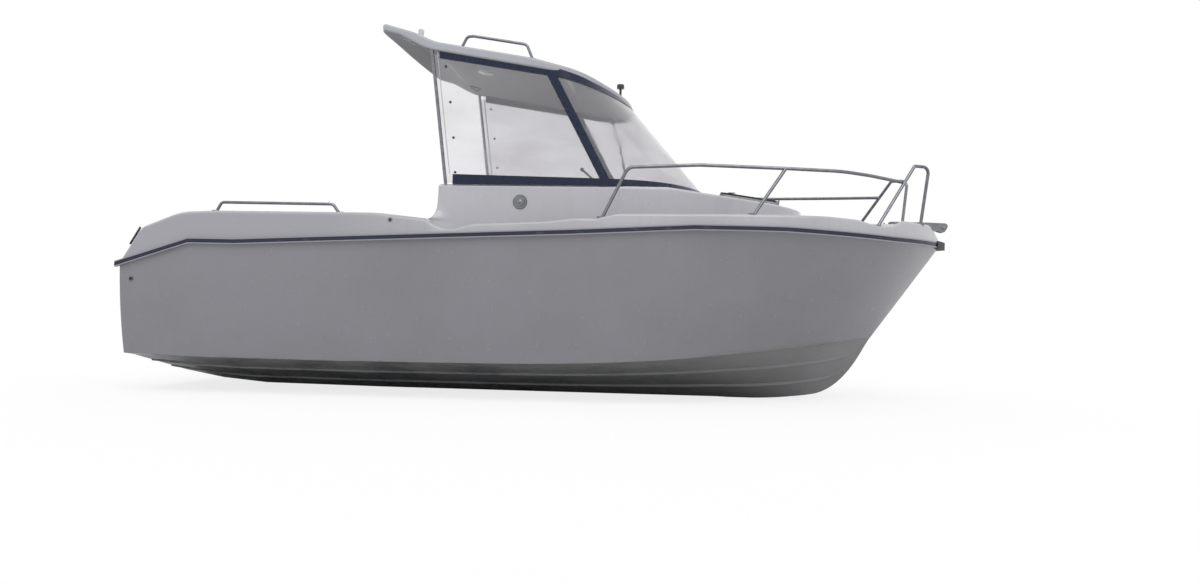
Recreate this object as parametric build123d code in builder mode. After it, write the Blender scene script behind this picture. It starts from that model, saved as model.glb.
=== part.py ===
"""Pilothouse boat: a trailerable glass-fibre fishing boat with an open-backed wheelhouse.

Millimetres. +X is forward (bow), +Y is port, +Z is up.
The origin is on the waterline plane, amidships, on the centreline.
"""
from build123d import *
from math import atan2, cos, hypot, radians, sin, sqrt, tan
import os

os.makedirs("parts", exist_ok=True)

SIDES = (("starboard", -1), ("port", 1))

# Hull outline in plan: two long side arcs and one round bow arc
transom_x = -3100
transom_half = 1140
beam_half = 1210
bow_radius = 1800
bow_centre_x = 1390
bow_tip_x = bow_centre_x + sqrt(bow_radius**2 - (bow_radius - beam_half) ** 2)
bow_tip_half = 30

# Side view of the joint between hull and deck: x, z
SHEER = (
    (transom_x - 60, 637),
    (-2560, 828),
    (-2200, 827),
    (300, 930),
    (1150, 974),
    (1800, 971),
    (2600, 940),
    (3300, 936),
)
SHEER_RADII = (250, 900, 3000, 1500, 2000, 1500)

# Hull sections, columns:
# keel x, keel z, keel half width, chine half width, chine z, chine flat, sheer x, bulge of the side
HULL_AFT = (
    (transom_x, -200, 26, 1050, -15, 150, transom_x, 20),
    (-2780, -255, 26, 1053, -25, 150, -2780, 20),
    (-2400, -288, 26, 1055, -32, 150, -2400, 20),
    (-1400, -297, 26, 1055, -34, 140, -1400, 20),
    (-400, -298, 26, 1052, -26, 120, -400, 18),
)
HULL_MID = (
    HULL_AFT[-1],
    (250, -299, 26, 1042, -12, 110, 280, 16),
    (850, -299, 26, 1000, 22, 92, 930, 14),
    (1350, -299, 26, 855, 72, 74, 1530, 10),
)
HULL_FORE = (
    HULL_MID[-1],
    (1780, -296, 25, 600, 123, 55, 2080, 7),
    (2090, -262, 22, 340, 166, 38, 2480, 5),
)
HULL_BOW = (
    HULL_FORE[-1],
    (2330, -130, 16, 105, 197, 18, 2800, 3),
    (2525, 160, 8, 16, 200, 5, bow_tip_x - 11, 2),
)
chine_flat_drop = 0.12
sheer_margin = 80

# Lifting strakes, as shares of the way from the keel to the chine flat
STRAKES = (0.27, 0.64)
strake_share = 0.055

# Rub rail
rail_out = 28
rail_height = 43
rail_overhang = 28

# Inside of the boat
sole_z = 200
sole_thickness = 20
cockpit_half = 930
cockpit_aft_x = -3020
house_half = 880
house_wall = 60
house_inner_half = house_half - house_wall
house_aft_x = -770
bulkhead_x = 720
bulkhead_thickness = 30
cuddy_front_x = 2050
cuddy_front_half = 330
cuddy_mid_x = 1500
cuddy_mid_half = 620
cuddy_aft_half = 740

# Wheelhouse: window sill height and the tapering front
sill_z = 1298
screen_low_z = 1350
screen_high_z = 2100
screen_low_x = 430
screen_low_depth = 750
screen_lean = 320 / 750
glass_thickness = 6
frame_proud = 5
frame_depth = 20

# Roof
roof_aft_x = -1213
roof_half = 900
roof_nose = 614

tube_radius = 12.5
foot_radius = 30
foot_height = 8
foot_bite = 12
small_tube_radius = 11
small_foot_radius = 24
small_foot_height = 6


def sheer_height(x):
    """Height of the hull and deck joint at x."""
    for (x0, z0), (x1, z1) in zip(SHEER, SHEER[1:]):
        if x <= x1:
            return z0 + (z1 - z0) * (x - x0) / (x1 - x0)


def sheer_half(x):
    """Half width of the hull at the sheer at x."""
    if x <= bow_centre_x:
        share = (bow_centre_x - x) / (bow_centre_x - transom_x)
        return beam_half - (beam_half - transom_half) * share**2
    across = sqrt(bow_radius**2 - (x - bow_centre_x) ** 2)
    return max(bow_tip_half, beam_half - bow_radius + across)


def hull_section(keel_x, keel_z, keel_half, chine_half, chine_z, flat, sheer_x, bulge):
    """One closed hull section on its own plane, which leans forward at the bow."""
    top_z = sheer_height(sheer_x)
    top_half = sheer_half(sheer_x)
    slant = hypot(sheer_x - keel_x, top_z - keel_z)
    lean_x = (sheer_x - keel_x) / slant
    lean_z = (top_z - keel_z) / slant
    plane = Plane(origin=(keel_x, 0, keel_z), x_dir=(0, 1, 0), z_dir=(lean_z, 0, -lean_x))
    chine_up = (chine_z - keel_z) / lean_z
    inner_up = (chine_z - chine_flat_drop * flat - keel_z) / lean_z
    top_up = (top_z - keel_z) / lean_z
    bulge_at = ((chine_half + top_half) / 2 + bulge, (chine_up + top_up) / 2)
    bottom_width = chine_half - flat - keel_half
    bottom = [(keel_half, 0)]
    for start in STRAKES:
        end = start + strake_share
        bottom.append((keel_half + start * bottom_width, start * inner_up))
        bottom.append((keel_half + end * bottom_width, start * inner_up))
        bottom.append((keel_half + end * bottom_width, end * inner_up))
    bottom += [(chine_half - flat, inner_up), (chine_half, chine_up)]
    with BuildSketch(plane) as section:
        with BuildLine():
            Polyline(*bottom)
            ThreePointArc((chine_half, chine_up), bulge_at, (top_half, top_up))
            Polyline(
                (top_half, top_up),
                (top_half, top_up + sheer_margin),
                (-top_half, top_up + sheer_margin),
                (-top_half, top_up),
            )
            ThreePointArc((-top_half, top_up), (-bulge_at[0], bulge_at[1]), (-chine_half, chine_up))
            Polyline(*[(-y, up) for y, up in reversed(bottom)], (keel_half, 0))
        make_face()
    return section.sketch


def plan_outline(grow, aft=0):
    """Plan of the sheer, grown outwards; aft moves the transom end further back."""
    stern = (transom_x - aft, transom_half + grow)
    shoulder = (bow_centre_x, beam_half + grow)
    tip = (bow_centre_x + sqrt((bow_radius + grow) ** 2 - (bow_radius - beam_half) ** 2), 0)
    with BuildSketch() as shape:
        with BuildLine():
            TangentArc(shoulder, stern, tangent=(-1, 0))
            bow = RadiusArc(shoulder, tip, bow_radius + grow)
            mirror(bow, about=Plane.XZ)
            TangentArc((shoulder[0], -shoulder[1]), (stern[0], -stern[1]), tangent=(-1, 0))
            Line(stern, (stern[0], -stern[1]))
        make_face()
    return shape.sketch


def region_above(points, radii, top):
    """Region of the side view from a chain of lines and arcs up to a level line."""
    with BuildSketch() as shape:
        with BuildLine():
            edge = FilletPolyline(*points, radius=radii)
            Polyline(edge @ 1, (points[-1][0], top), (points[0][0], top), edge @ 0)
        make_face()
    return shape.sketch


above_all = 1700
half_span = beam_half + 120

# Hull
with BuildPart() as hull_form:
    loft([hull_section(*row) for row in HULL_AFT], ruled=True)
    for rows in (HULL_MID, HULL_FORE, HULL_BOW):
        loft([hull_section(*row) for row in rows])

with BuildPart() as above_sheer:
    with BuildSketch(Plane.XZ):
        add(region_above(SHEER, SHEER_RADII, above_all))
    extrude(amount=half_span, both=True)

# Everything inside the boat that stays open, as one solid
cuddy_roof_low = 1075
cuddy_roof_high = 1245
with BuildPart() as inside:
    with BuildSketch(Plane.XY.offset(sole_z - sole_thickness)):
        with Locations(((cockpit_aft_x + house_aft_x) / 2, 0)):
            Rectangle(house_aft_x - cockpit_aft_x, 2 * cockpit_half)
        with Locations(((house_aft_x + bulkhead_x) / 2, 0)):
            Rectangle(bulkhead_x - house_aft_x + 1, 2 * house_inner_half)
    extrude(amount=above_all - sole_z)

with BuildPart() as cuddy_space:
    with BuildSketch(Plane.XY.offset(sole_z - sole_thickness)):
        with BuildLine():
            Polyline(
                (bulkhead_x, cuddy_aft_half),
                (cuddy_mid_x, cuddy_mid_half),
                (cuddy_front_x, cuddy_front_half),
                (cuddy_front_x, -cuddy_front_half),
                (cuddy_mid_x, -cuddy_mid_half),
                (bulkhead_x, -cuddy_aft_half),
                close=True,
            )
        make_face()
    extrude(amount=cuddy_roof_high - sole_z + sole_thickness)
    with BuildSketch(Plane.XZ):
        with BuildLine():
            Polyline(
                (bulkhead_x - 10, 0),
                (bulkhead_x - 10, cuddy_roof_high),
                (bulkhead_x + 400, cuddy_roof_high),
                (cuddy_front_x, cuddy_roof_low),
                (cuddy_front_x, 0),
                close=True,
            )
        make_face()
    extrude(amount=half_span, both=True, mode=Mode.INTERSECT)

# Motor cut-out in the transom
motor_cut_half = 330
motor_cut_z = 440
motor_bolt_radius = 6.6
MOTOR_BOLTS = ((163.6, 395.2), (125.4, 192))

with BuildPart() as hull:
    add(hull_form.part)
    add(above_sheer.part, mode=Mode.SUBTRACT)
    add(inside.part, mode=Mode.SUBTRACT)
    add(cuddy_space.part, mode=Mode.SUBTRACT)
    with BuildSketch(Plane.XY.offset(motor_cut_z)):
        with Locations((transom_x, 0)):
            Rectangle(2 * (cockpit_aft_x - transom_x) + 10, 2 * motor_cut_half)
    extrude(amount=above_all, mode=Mode.SUBTRACT)

    for y, z in MOTOR_BOLTS:
        with BuildSketch(Plane.YZ.offset(transom_x - 10)):
            with Locations((y, z), (-y, z)):
                Circle(motor_bolt_radius)
        extrude(amount=cockpit_aft_x - transom_x + 20, mode=Mode.SUBTRACT)

hull.part.label = "hull"
export_step(hull.part, "parts/hull.step")

# Deck moulding: coaming and toe rail block under a side-view top line, columns: x, z, rounding
COAMING_LINE = (
    (transom_x - 10, sheer_height(transom_x - 10), 0),
    (-2945, 925, 115),
    (-2640, 1045, 500),
    (-2380, 1056, 1500),
    (-1150, 1054, 1500),
    (house_aft_x - 15, 1016, 0),
    (house_aft_x - 15, 942, 0),
    (-565, 942, 180),
    (-430, 982, 160),
    (80, 1004, 1200),
    (310, 1032, 260),
    (450, 1028, 120),
    (600, 1066, 160),
    (2090, 1078, 2500),
    (2320, 1066, 500),
    (2460, 1031, 200),
    (2590, 1040, 120),
    (2680, 1088, 90),
    (2950, 1084, 90),
    (3070, 985, 30),
    (3090, 960, 0),
)
COAMING_TOP = [(x, z) for x, z, rounding in COAMING_LINE]
COAMING_RADII = [rounding for x, z, rounding in COAMING_LINE]
coaming_step = 6
coaming_edge = 32
toe_rail_edge = 20
deck_low = 600
deck_high = 1200
deck_reference = 900
deck_lean = tan(radians(3))
toe_rail_width = 62

# Deck surface between the toe rails: the lower of two wide round surfaces
SIDE_DECK = (8000, 956, -600, 1046, 1000)
BOW_DECK = (4000, 1100, 0, 1100, 3000)


def crowned(radius, z0, x0, z1, x1):
    """Solid under a wide round surface whose top line runs through (x0, z0) and (x1, z1)."""
    slope = atan2(z1 - z0, x1 - x0)
    normal = Vector(-sin(slope), 0, cos(slope))
    start = Vector(x0, 0, z0) - normal * radius - Vector(cos(slope), 0, sin(slope)) * 4500
    plane = Plane(origin=start, x_dir=(0, 1, 0), z_dir=(cos(slope), 0, sin(slope)))
    with BuildPart() as shape:
        with BuildSketch(plane):
            Circle(radius)
        extrude(amount=9000)
    return shape.part


with BuildPart() as deck_under:
    add(crowned(*SIDE_DECK))
    add(crowned(*BOW_DECK), mode=Mode.INTERSECT)

with BuildPart() as coaming_block:
    with BuildSketch(Plane.XY.offset(deck_low)):
        add(plan_outline((deck_reference - deck_low) * deck_lean))
    with BuildSketch(Plane.XY.offset(deck_high)):
        add(plan_outline((deck_reference - deck_high) * deck_lean))
    loft(ruled=True)
    with BuildSketch(Plane.XZ):
        with BuildLine():
            FilletPolyline(*COAMING_TOP[:coaming_step], radius=COAMING_RADII[1 : coaming_step - 1])
            Line(COAMING_TOP[coaming_step - 1], COAMING_TOP[coaming_step])
            FilletPolyline(*COAMING_TOP[coaming_step:], radius=COAMING_RADII[coaming_step + 1 : -1])
            Polyline(COAMING_TOP[-1], (3140, 0), (transom_x - 10, 0), COAMING_TOP[0])
        make_face()
    extrude(amount=half_span, both=True, mode=Mode.INTERSECT)
    step_x = COAMING_TOP[coaming_step][0]
    for radius, ahead in ((coaming_edge, -1), (toe_rail_edge, 1)):
        for side, sign in SIDES:
            rim = coaming_block.edges().filter_by(GeomType.BSPLINE)
            rim = rim.filter_by(lambda edge: edge.bounding_box().min.Z > deck_low + 40)
            rim = rim.filter_by(lambda edge: edge.center().Y * sign > 0)
            fillet([edge for edge in rim if (edge.center().X - step_x) * ahead > 1], radius)
    add(above_sheer.part, mode=Mode.INTERSECT)

side_deck_aft_x = -600
with BuildPart() as deck_inner:
    with BuildSketch(Plane.XY.offset(deck_low)):
        add(plan_outline(-toe_rail_width))
    extrude(amount=deck_high - deck_low)
    with BuildSketch(Plane.XY.offset(deck_low)):
        with Locations(((side_deck_aft_x + 4000) / 2, 0)):
            Rectangle(4000 - side_deck_aft_x, 2 * half_span)
    extrude(amount=deck_high - deck_low, mode=Mode.INTERSECT)
    add(above_sheer.part, mode=Mode.INTERSECT)

# Wheelhouse base and trunk cabin in plan, under a gently crowned sloping top
trunk_side_x = 1650
trunk_side_half = 655
trunk_front_x = 1990
TRUNK_TOP = (8000, 1300, 1218, 1200, 1900)
trunk_edge = 16
trunk_edge_from_x = 1250
house_edge = 24
with BuildPart() as deckhouse_form:
    with BuildSketch(Plane.XY.offset(deck_low)):
        with BuildLine():
            shoulder = Line((house_aft_x, house_half), (screen_low_x, house_half))
            flank = TangentArc(shoulder @ 1, (trunk_side_x, trunk_side_half), tangent=(1, 0))
            ThreePointArc(
                (trunk_side_x, trunk_side_half), (trunk_front_x, 0), (trunk_side_x, -trunk_side_half)
            )
            mirror(flank, about=Plane.XZ)
            mirror(shoulder, about=Plane.XZ)
            Line((house_aft_x, house_half), (house_aft_x, -house_half))
        make_face()
    extrude(amount=sill_z - deck_low)
    aft_face = deckhouse_form.faces().sort_by(Axis.X)[0]
    fillet(aft_face.edges().filter_by(Axis.Z), house_edge)
    aft_face = deckhouse_form.faces().sort_by(Axis.X)[0]
    fillet(aft_face.edges().sort_by(Axis.Z)[-1], house_edge)
    add(crowned(*TRUNK_TOP), mode=Mode.INTERSECT)
    trunk_top = deckhouse_form.faces().filter_by(GeomType.CYLINDER).sort_by(SortBy.AREA)[-1]
    fillet([edge for edge in trunk_top.edges() if edge.center().X > trunk_edge_from_x], trunk_edge)
    add(above_sheer.part, mode=Mode.INTERSECT)

# Foredeck hatch on the trunk cabin
hatch_x = 1560
hatch_length = 460
hatch_width = 460
hatch_slope = atan2(TRUNK_TOP[3] - TRUNK_TOP[1], TRUNK_TOP[4] - TRUNK_TOP[2])
hatch_plane = Plane(
    origin=(hatch_x, 0, TRUNK_TOP[1] + (hatch_x - TRUNK_TOP[2]) * tan(hatch_slope)),
    x_dir=(cos(hatch_slope), 0, sin(hatch_slope)),
    z_dir=(-sin(hatch_slope), 0, cos(hatch_slope)),
)
hatch_pad = 12
hatch_pad_rim = 40
hatch_frame_height = 22
hatch_frame_rim = 34
hatch_lid_thickness = 14
hatch_gap = 1

# Anchor locker in the foredeck
locker_x = 2500
locker_length = 260
locker_width = 380
locker_depth = 60
locker_ledge = 15
locker_lid_thickness = 15
lid_gap = 5
lid_seat = 0.3

with BuildPart() as deck_pocket:
    add(deck_inner.part)
    add(deck_under.part, mode=Mode.SUBTRACT)

with BuildPart() as deck_crown:
    add(deck_inner.part)
    add(deck_under.part, mode=Mode.INTERSECT)

with BuildPart() as deck_moulding:
    add(coaming_block.part)
    add(deck_pocket.part, mode=Mode.SUBTRACT)
    add(deck_crown.part)
    add(deckhouse_form.part, mode=Mode.SUBTRACT)
    add(inside.part, mode=Mode.SUBTRACT)
    with BuildSketch(Plane.XY.offset(sole_z)):
        with Locations((transom_x, 0)):
            Rectangle(2 * (cockpit_aft_x - transom_x) + 10, 2 * cockpit_half)
    extrude(amount=above_all, mode=Mode.SUBTRACT)
    add(cuddy_space.part, mode=Mode.SUBTRACT)
    with BuildSketch(Plane.XY.offset(BOW_DECK[1] - locker_depth)):
        with Locations((locker_x, 0)):
            RectangleRounded(locker_length - 2 * locker_ledge, locker_width - 2 * locker_ledge, 30)
    extrude(amount=200, mode=Mode.SUBTRACT)
    with BuildSketch(Plane.XY.offset(BOW_DECK[1] - locker_lid_thickness - lid_seat)):
        with Locations((locker_x, 0)):
            RectangleRounded(locker_length, locker_width, 40)
    extrude(amount=200, mode=Mode.SUBTRACT)

# The deck moulding in sections that meet face to face: the cockpit coamings, the toe rails round the
# bow, and the deck between the toe rails
RAIL_SECTIONS = (side_deck_aft_x, bow_centre_x, 2400)
DECK_SECTIONS = (bow_centre_x, cuddy_front_x)
with BuildPart() as coamings:
    add(deck_moulding.part)
    with BuildSketch(Plane.XY.offset(deck_low)):
        with Locations((step_x - 2000, 0)):
            Rectangle(4000, 2 * half_span)
    extrude(amount=deck_high - deck_low, mode=Mode.INTERSECT)
coamings.part.label = "coamings"
export_step(coamings.part, "parts/coamings.step")

with BuildPart() as toe_rails:
    add(deck_moulding.part)
    add(coamings.part, mode=Mode.SUBTRACT)
    add(deck_inner.part, mode=Mode.SUBTRACT)
    for x in RAIL_SECTIONS:
        split(bisect_by=Plane.YZ.offset(x), keep=Keep.BOTH)
    split(bisect_by=Plane.XZ, keep=Keep.BOTH)
toe_rails.part.label = "toe_rails"
export_step(toe_rails.part, "parts/toe_rails.step")

with BuildPart() as deck:
    add(deck_moulding.part)
    add(deck_inner.part, mode=Mode.INTERSECT)
    for x in DECK_SECTIONS:
        split(bisect_by=Plane.YZ.offset(x), keep=Keep.BOTH)
    split(bisect_by=Plane.XZ, keep=Keep.BOTH)
deck.part.label = "deck"
export_step(deck.part, "parts/deck.step")

with BuildPart() as deckhouse:
    add(deckhouse_form.part)
    with BuildSketch(hatch_plane.offset(-25)):
        RectangleRounded(hatch_length + 2 * hatch_pad_rim, hatch_width + 2 * hatch_pad_rim, 60)
    extrude(amount=25 + hatch_pad)
    add(inside.part, mode=Mode.SUBTRACT)
    add(cuddy_space.part, mode=Mode.SUBTRACT)
    with BuildSketch(hatch_plane.offset(-120)):
        Rectangle(hatch_length - 2 * hatch_frame_rim, hatch_width - 2 * hatch_frame_rim)
    extrude(amount=200, mode=Mode.SUBTRACT)
deckhouse.part.label = "deckhouse"
export_step(deckhouse.part, "parts/deckhouse.step")

# Rub rails along the sheer, and the black cap that joins them at the bow tip
bow_cap_length = 70
bow_cap_extra = 8
ring_depth = 12


def sheer_band(height):
    """Side view band of a given height along the hull and deck joint."""
    with BuildSketch() as shape:
        add(region_above([(x, z - height / 2) for x, z in SHEER], SHEER_RADII, above_all))
        add(
            region_above([(x, z + height / 2) for x, z in SHEER], SHEER_RADII, above_all + height),
            mode=Mode.SUBTRACT,
        )
    return shape.sketch


def edge_band(outwards, height):
    """Band that wraps the outside of the hull and deck joint, open at the stern."""
    with BuildPart() as band:
        with BuildSketch(Plane.XY.offset(deck_low - 50)):
            add(plan_outline(outwards, rail_overhang))
            add(plan_outline(-ring_depth, rail_overhang + 5), mode=Mode.SUBTRACT)
        extrude(amount=deck_high - deck_low)
        with BuildSketch(Plane.XZ):
            add(sheer_band(height))
        extrude(amount=half_span, both=True, mode=Mode.INTERSECT)
        add(hull.part, mode=Mode.SUBTRACT)
        add(deck_moulding.part, mode=Mode.SUBTRACT)
    return band.part


rail_band = edge_band(rail_out, rail_height)
cap_band = edge_band(rail_out + bow_cap_extra, rail_height + 2 * bow_cap_extra)
cap_x = bow_tip_x - bow_cap_length
with BuildPart() as rub_rail:
    add(rail_band)
    with BuildSketch(Plane.XY):
        with Locations((cap_x - 4000, 0)):
            Rectangle(8000, 2 * half_span)
    extrude(amount=2000, mode=Mode.INTERSECT)
rub_rail.part.label = "rub_rail"
export_step(rub_rail.part, "parts/rub_rail.step")

with BuildPart() as bow_cap:
    add(cap_band)
    with BuildSketch(Plane.XY):
        with Locations((cap_x + 500, 0)):
            Rectangle(1000, 2 * half_span)
    extrude(amount=2000, mode=Mode.INTERSECT)
bow_cap.part.label = "bow_cap"
export_step(bow_cap.part, "parts/bow_cap.step")

# Roof: an upswept tail, a straight run and a drooping nose, crowned across.
# The points are the side view of its edge.
ROOF_TOP = ((roof_aft_x - 40, 2513), (-960, 2431), (-800, 2360), (-57, 2238), (300, 2160), (640, 2030))
ROOF_TOP_RADII = (300, 300, 1500, 900)
ROOF_UNDER = ((roof_aft_x - 40, 2457), (-1060, 2406), (-860, 2303), (109, 2141), (400, 2066), (640, 1975))
ROOF_UNDER_RADII = (300, 300, 900, 600)
roof_nose_start = 0
roof_crown_radius = 5800
roof_slab_depth = 105
roof_edge = 18


def roof_crown(x):
    """Rise of the roof's middle above its edge at x, which dies away towards the nose."""
    share = max(0, (x - roof_nose_start) / (roof_nose - roof_nose_start))
    return max(0, 1 - share**2) * roof_half**2 / (2 * roof_crown_radius)


def crowned_slab(points, radii, depth):
    """Slab with a crowned top, swept along a chain of lines and arcs in the side view."""
    drop = half_span**2 / (2 * roof_crown_radius)
    with BuildPart() as slab:
        with BuildLine(Plane.XZ) as run:
            FilletPolyline(*[(x, z + roof_crown(x)) for x, z in points], radius=radii)
        path = run.wires()[0]
        with BuildSketch(Plane(origin=path @ 0, x_dir=(0, 1, 0), z_dir=path % 0)):
            with BuildLine():
                ThreePointArc((-half_span, -drop), (0, 0), (half_span, -drop))
                Line((half_span, -drop), (half_span, -drop - depth))
                ThreePointArc((half_span, -drop - depth), (0, -depth), (-half_span, -drop - depth))
                Line((-half_span, -drop - depth), (-half_span, -drop))
            make_face()
        sweep(path=path)
    return slab.part


with BuildPart() as roof:
    add(crowned_slab(ROOF_TOP, ROOF_TOP_RADII, roof_slab_depth))
    add(crowned_slab(ROOF_UNDER, ROOF_UNDER_RADII, roof_slab_depth), mode=Mode.SUBTRACT)
    with BuildSketch(Plane.XY.offset(1900)):
        with BuildLine():
            EllipticalCenterArc(
                (roof_nose_start, 0), roof_nose - roof_nose_start, roof_half, start_angle=-90, arc_size=180
            )
            Polyline(
                (roof_nose_start, roof_half),
                (roof_aft_x, roof_half),
                (roof_aft_x, -roof_half),
                (roof_nose_start, -roof_half),
            )
        make_face()
    extrude(amount=800, mode=Mode.INTERSECT)
    fillet(roof.edges(), roof_edge)
roof.part.label = "roof"
export_step(roof.part, "parts/roof.step")


def along(points, x):
    """Height at x of a chain of points in the side view."""
    for (x0, z0), (x1, z1) in zip(points, points[1:]):
        if x <= x1:
            return z0 + (z1 - z0) * (x - x0) / (x1 - x0)


def roof_height(points, x, y):
    """Height of a roof surface at x and y, from the side view of its edge."""
    return along(points, x) + roof_crown(x) - y**2 / (2 * roof_crown_radius)


def house_skin(grow):
    """Outside of the glasshouse: straight sides and a round front that leans back."""
    with BuildPart() as skin:
        for z in (sill_z - 20, 2500):
            back = (z - screen_low_z) * screen_lean
            centre_x = screen_low_x - back
            with BuildSketch(Plane.XY.offset(z)):
                with BuildLine():
                    EllipticalCenterArc(
                        (centre_x, 0),
                        screen_low_depth - back + grow,
                        house_half + grow,
                        start_angle=-90,
                        arc_size=180,
                    )
                    Polyline(
                        (centre_x, house_half + grow),
                        (-1200, house_half + grow),
                        (-1200, -house_half - grow),
                        (centre_x, -house_half - grow),
                    )
                make_face()
        loft(ruled=True)
    return skin.part


with BuildPart() as glass_skin:
    add(house_skin(0))
    add(house_skin(-glass_thickness), mode=Mode.SUBTRACT)
with BuildPart() as frame_skin:
    add(house_skin(frame_proud))
    add(house_skin(-frame_depth), mode=Mode.SUBTRACT)

# Window bands and slanted pillar in side view
band_aft_low_x = -659
band_aft_high_x = -778
LOWER_BAND = ((band_aft_low_x, 1372), (450, 1350), (900, 1346), (1260, 1332))
UPPER_BAND = ((band_aft_high_x, 2240), (109, 2100), (320, 2054), (600, 1990))
PILLAR = ((442, 1352), (513, 1353), (110, 2100), (37, 2114))
pillar_slope = (PILLAR[3][0] - PILLAR[0][0]) / (PILLAR[3][1] - PILLAR[0][1])
post_foot = (-713, sill_z)
post_head = (-838, 2300)
post_slope = (post_head[0] - post_foot[0]) / (post_head[1] - post_foot[1])
post_offset = 874


def pillar_x(z, share):
    """x of a line in the pillar at height z: share 0 is its aft edge, 1 its forward edge."""
    start = PILLAR[0][0] + share * (PILLAR[1][0] - PILLAR[0][0])
    return start + (z - PILLAR[0][1]) * pillar_slope


def post_x(z):
    """x of the aft post's centre at height z."""
    return post_foot[0] + (z - post_foot[1]) * post_slope


glass_low_z = sill_z + 8
glass_gap = 5
roof_bite = 25
with BuildPart() as glass_limits:
    with BuildSketch(Plane.XZ):
        with BuildLine():
            Polyline(
                (-1000, glass_low_z),
                (1400, glass_low_z),
                *[(x, z + 22) for x, z in reversed(UPPER_BAND)],
                (-1000, 2294),
                close=True,
            )
        make_face()
    extrude(amount=half_span, both=True)
    add(roof.part, mode=Mode.SUBTRACT)

with BuildPart() as side_windows:
    add(glass_skin.part)
    add(glass_limits.part, mode=Mode.INTERSECT)
    with BuildSketch(Plane.XZ):
        with BuildLine():
            Polyline(
                (post_x(1200) + tube_radius + 1, 1200),
                (pillar_x(1200, 0.5) - glass_gap, 1200),
                (pillar_x(2500, 0.5) - glass_gap, 2500),
                (post_x(2500) + tube_radius + 1, 2500),
                close=True,
            )
        make_face()
    extrude(amount=half_span, both=True, mode=Mode.INTERSECT)
side_windows.part.label = "side_windows"
export_step(side_windows.part, "parts/side_windows.step")

with BuildPart() as windscreen:
    add(glass_skin.part)
    add(glass_limits.part, mode=Mode.INTERSECT)
    with BuildSketch(Plane.XZ):
        with BuildLine():
            Polyline(
                (pillar_x(1200, 0.5) + glass_gap, 1200),
                (1500, 1200),
                (1500, 2500),
                (pillar_x(2500, 0.5) + glass_gap, 2500),
                close=True,
            )
        make_face()
    extrude(amount=half_span, both=True, mode=Mode.INTERSECT)
windscreen.part.label = "windscreen"
export_step(windscreen.part, "parts/windscreen.step")

with BuildPart() as groove:
    add(glass_skin.part)
    add(glass_limits.part, mode=Mode.INTERSECT)

with BuildPart() as lower_band:
    add(frame_skin.part)
    with BuildSketch(Plane.XZ):
        with BuildLine():
            Polyline(
                *LOWER_BAND,
                (LOWER_BAND[-1][0] + 50, sill_z),
                (band_aft_low_x, sill_z),
                close=True,
            )
        make_face()
    extrude(amount=half_span, both=True, mode=Mode.INTERSECT)
    add(groove.part, mode=Mode.SUBTRACT)
lower_band.part.label = "lower_band"
export_step(lower_band.part, "parts/lower_band.step")

with BuildPart() as upper_band:
    add(frame_skin.part)
    with BuildSketch(Plane.XZ):
        with BuildLine():
            Polyline(
                *UPPER_BAND,
                *[(x, z + roof_bite) for x, z in reversed(ROOF_UNDER[3:])],
                (band_aft_high_x, along(ROOF_UNDER, band_aft_high_x) + roof_bite),
                close=True,
            )
        make_face()
    extrude(amount=half_span, both=True, mode=Mode.INTERSECT)
    add(roof.part, mode=Mode.SUBTRACT)
    add(groove.part, mode=Mode.SUBTRACT)
upper_band.part.label = "upper_band"
export_step(upper_band.part, "parts/upper_band.step")

pillar_from_y = 500
with BuildPart() as pillars:
    add(frame_skin.part)
    with BuildSketch(Plane.XZ):
        with BuildLine():
            Polyline(
                (pillar_x(1200, 0), 1200),
                (pillar_x(1200, 1), 1200),
                (pillar_x(2300, 1), 2300),
                (pillar_x(2300, 0), 2300),
                close=True,
            )
        make_face()
    extrude(amount=half_span, both=True, mode=Mode.INTERSECT)
    with BuildSketch(Plane.XZ):
        with BuildLine():
            Polyline(
                *LOWER_BAND, (1400, LOWER_BAND[-1][1]), *reversed(UPPER_BAND), close=True
            )
        make_face()
    extrude(amount=half_span, both=True, mode=Mode.INTERSECT)
    with BuildSketch(Plane.XY):
        Rectangle(8000, 2 * pillar_from_y)
    extrude(amount=3000, mode=Mode.SUBTRACT)
    add(groove.part, mode=Mode.SUBTRACT)
pillars.part.label = "pillars"
export_step(pillars.part, "parts/pillars.step")


def tube(points, radii, radius=tube_radius):
    """Round tube along straight runs joined by arcs."""
    with BuildPart() as shape:
        with BuildLine() as run:
            FilletPolyline(*points, radius=radii)
        with BuildSketch(Plane(origin=run.wires()[0] @ 0, z_dir=run.wires()[0] % 0)):
            Circle(radius)
        sweep(path=run.wires()[0])
    return shape.part


def rod(start, end, radius=tube_radius):
    """Round bar from start to end."""
    line = Vector(*end) - Vector(*start)
    with BuildPart() as shape:
        with BuildSketch(Plane(origin=start, z_dir=line)):
            Circle(radius)
        extrude(amount=line.length)
    return shape.part


# Stainless posts at the aft edges of the side windows
with BuildPart() as aft_posts:
    for side, sign in SIDES:
        low_z = sill_z - 30
        high_z = post_head[1] + roof_bite
        add(rod((post_x(low_z), sign * post_offset, low_z), (post_x(high_z), sign * post_offset, high_z)))
    add(roof.part, mode=Mode.SUBTRACT)
    with BuildSketch(Plane.XY.offset(sill_z)):
        Rectangle(8000, 2 * half_span)
    extrude(amount=2000, mode=Mode.INTERSECT)
aft_posts.part.label = "aft_posts"
export_step(aft_posts.part, "parts/aft_posts.step")

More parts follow.
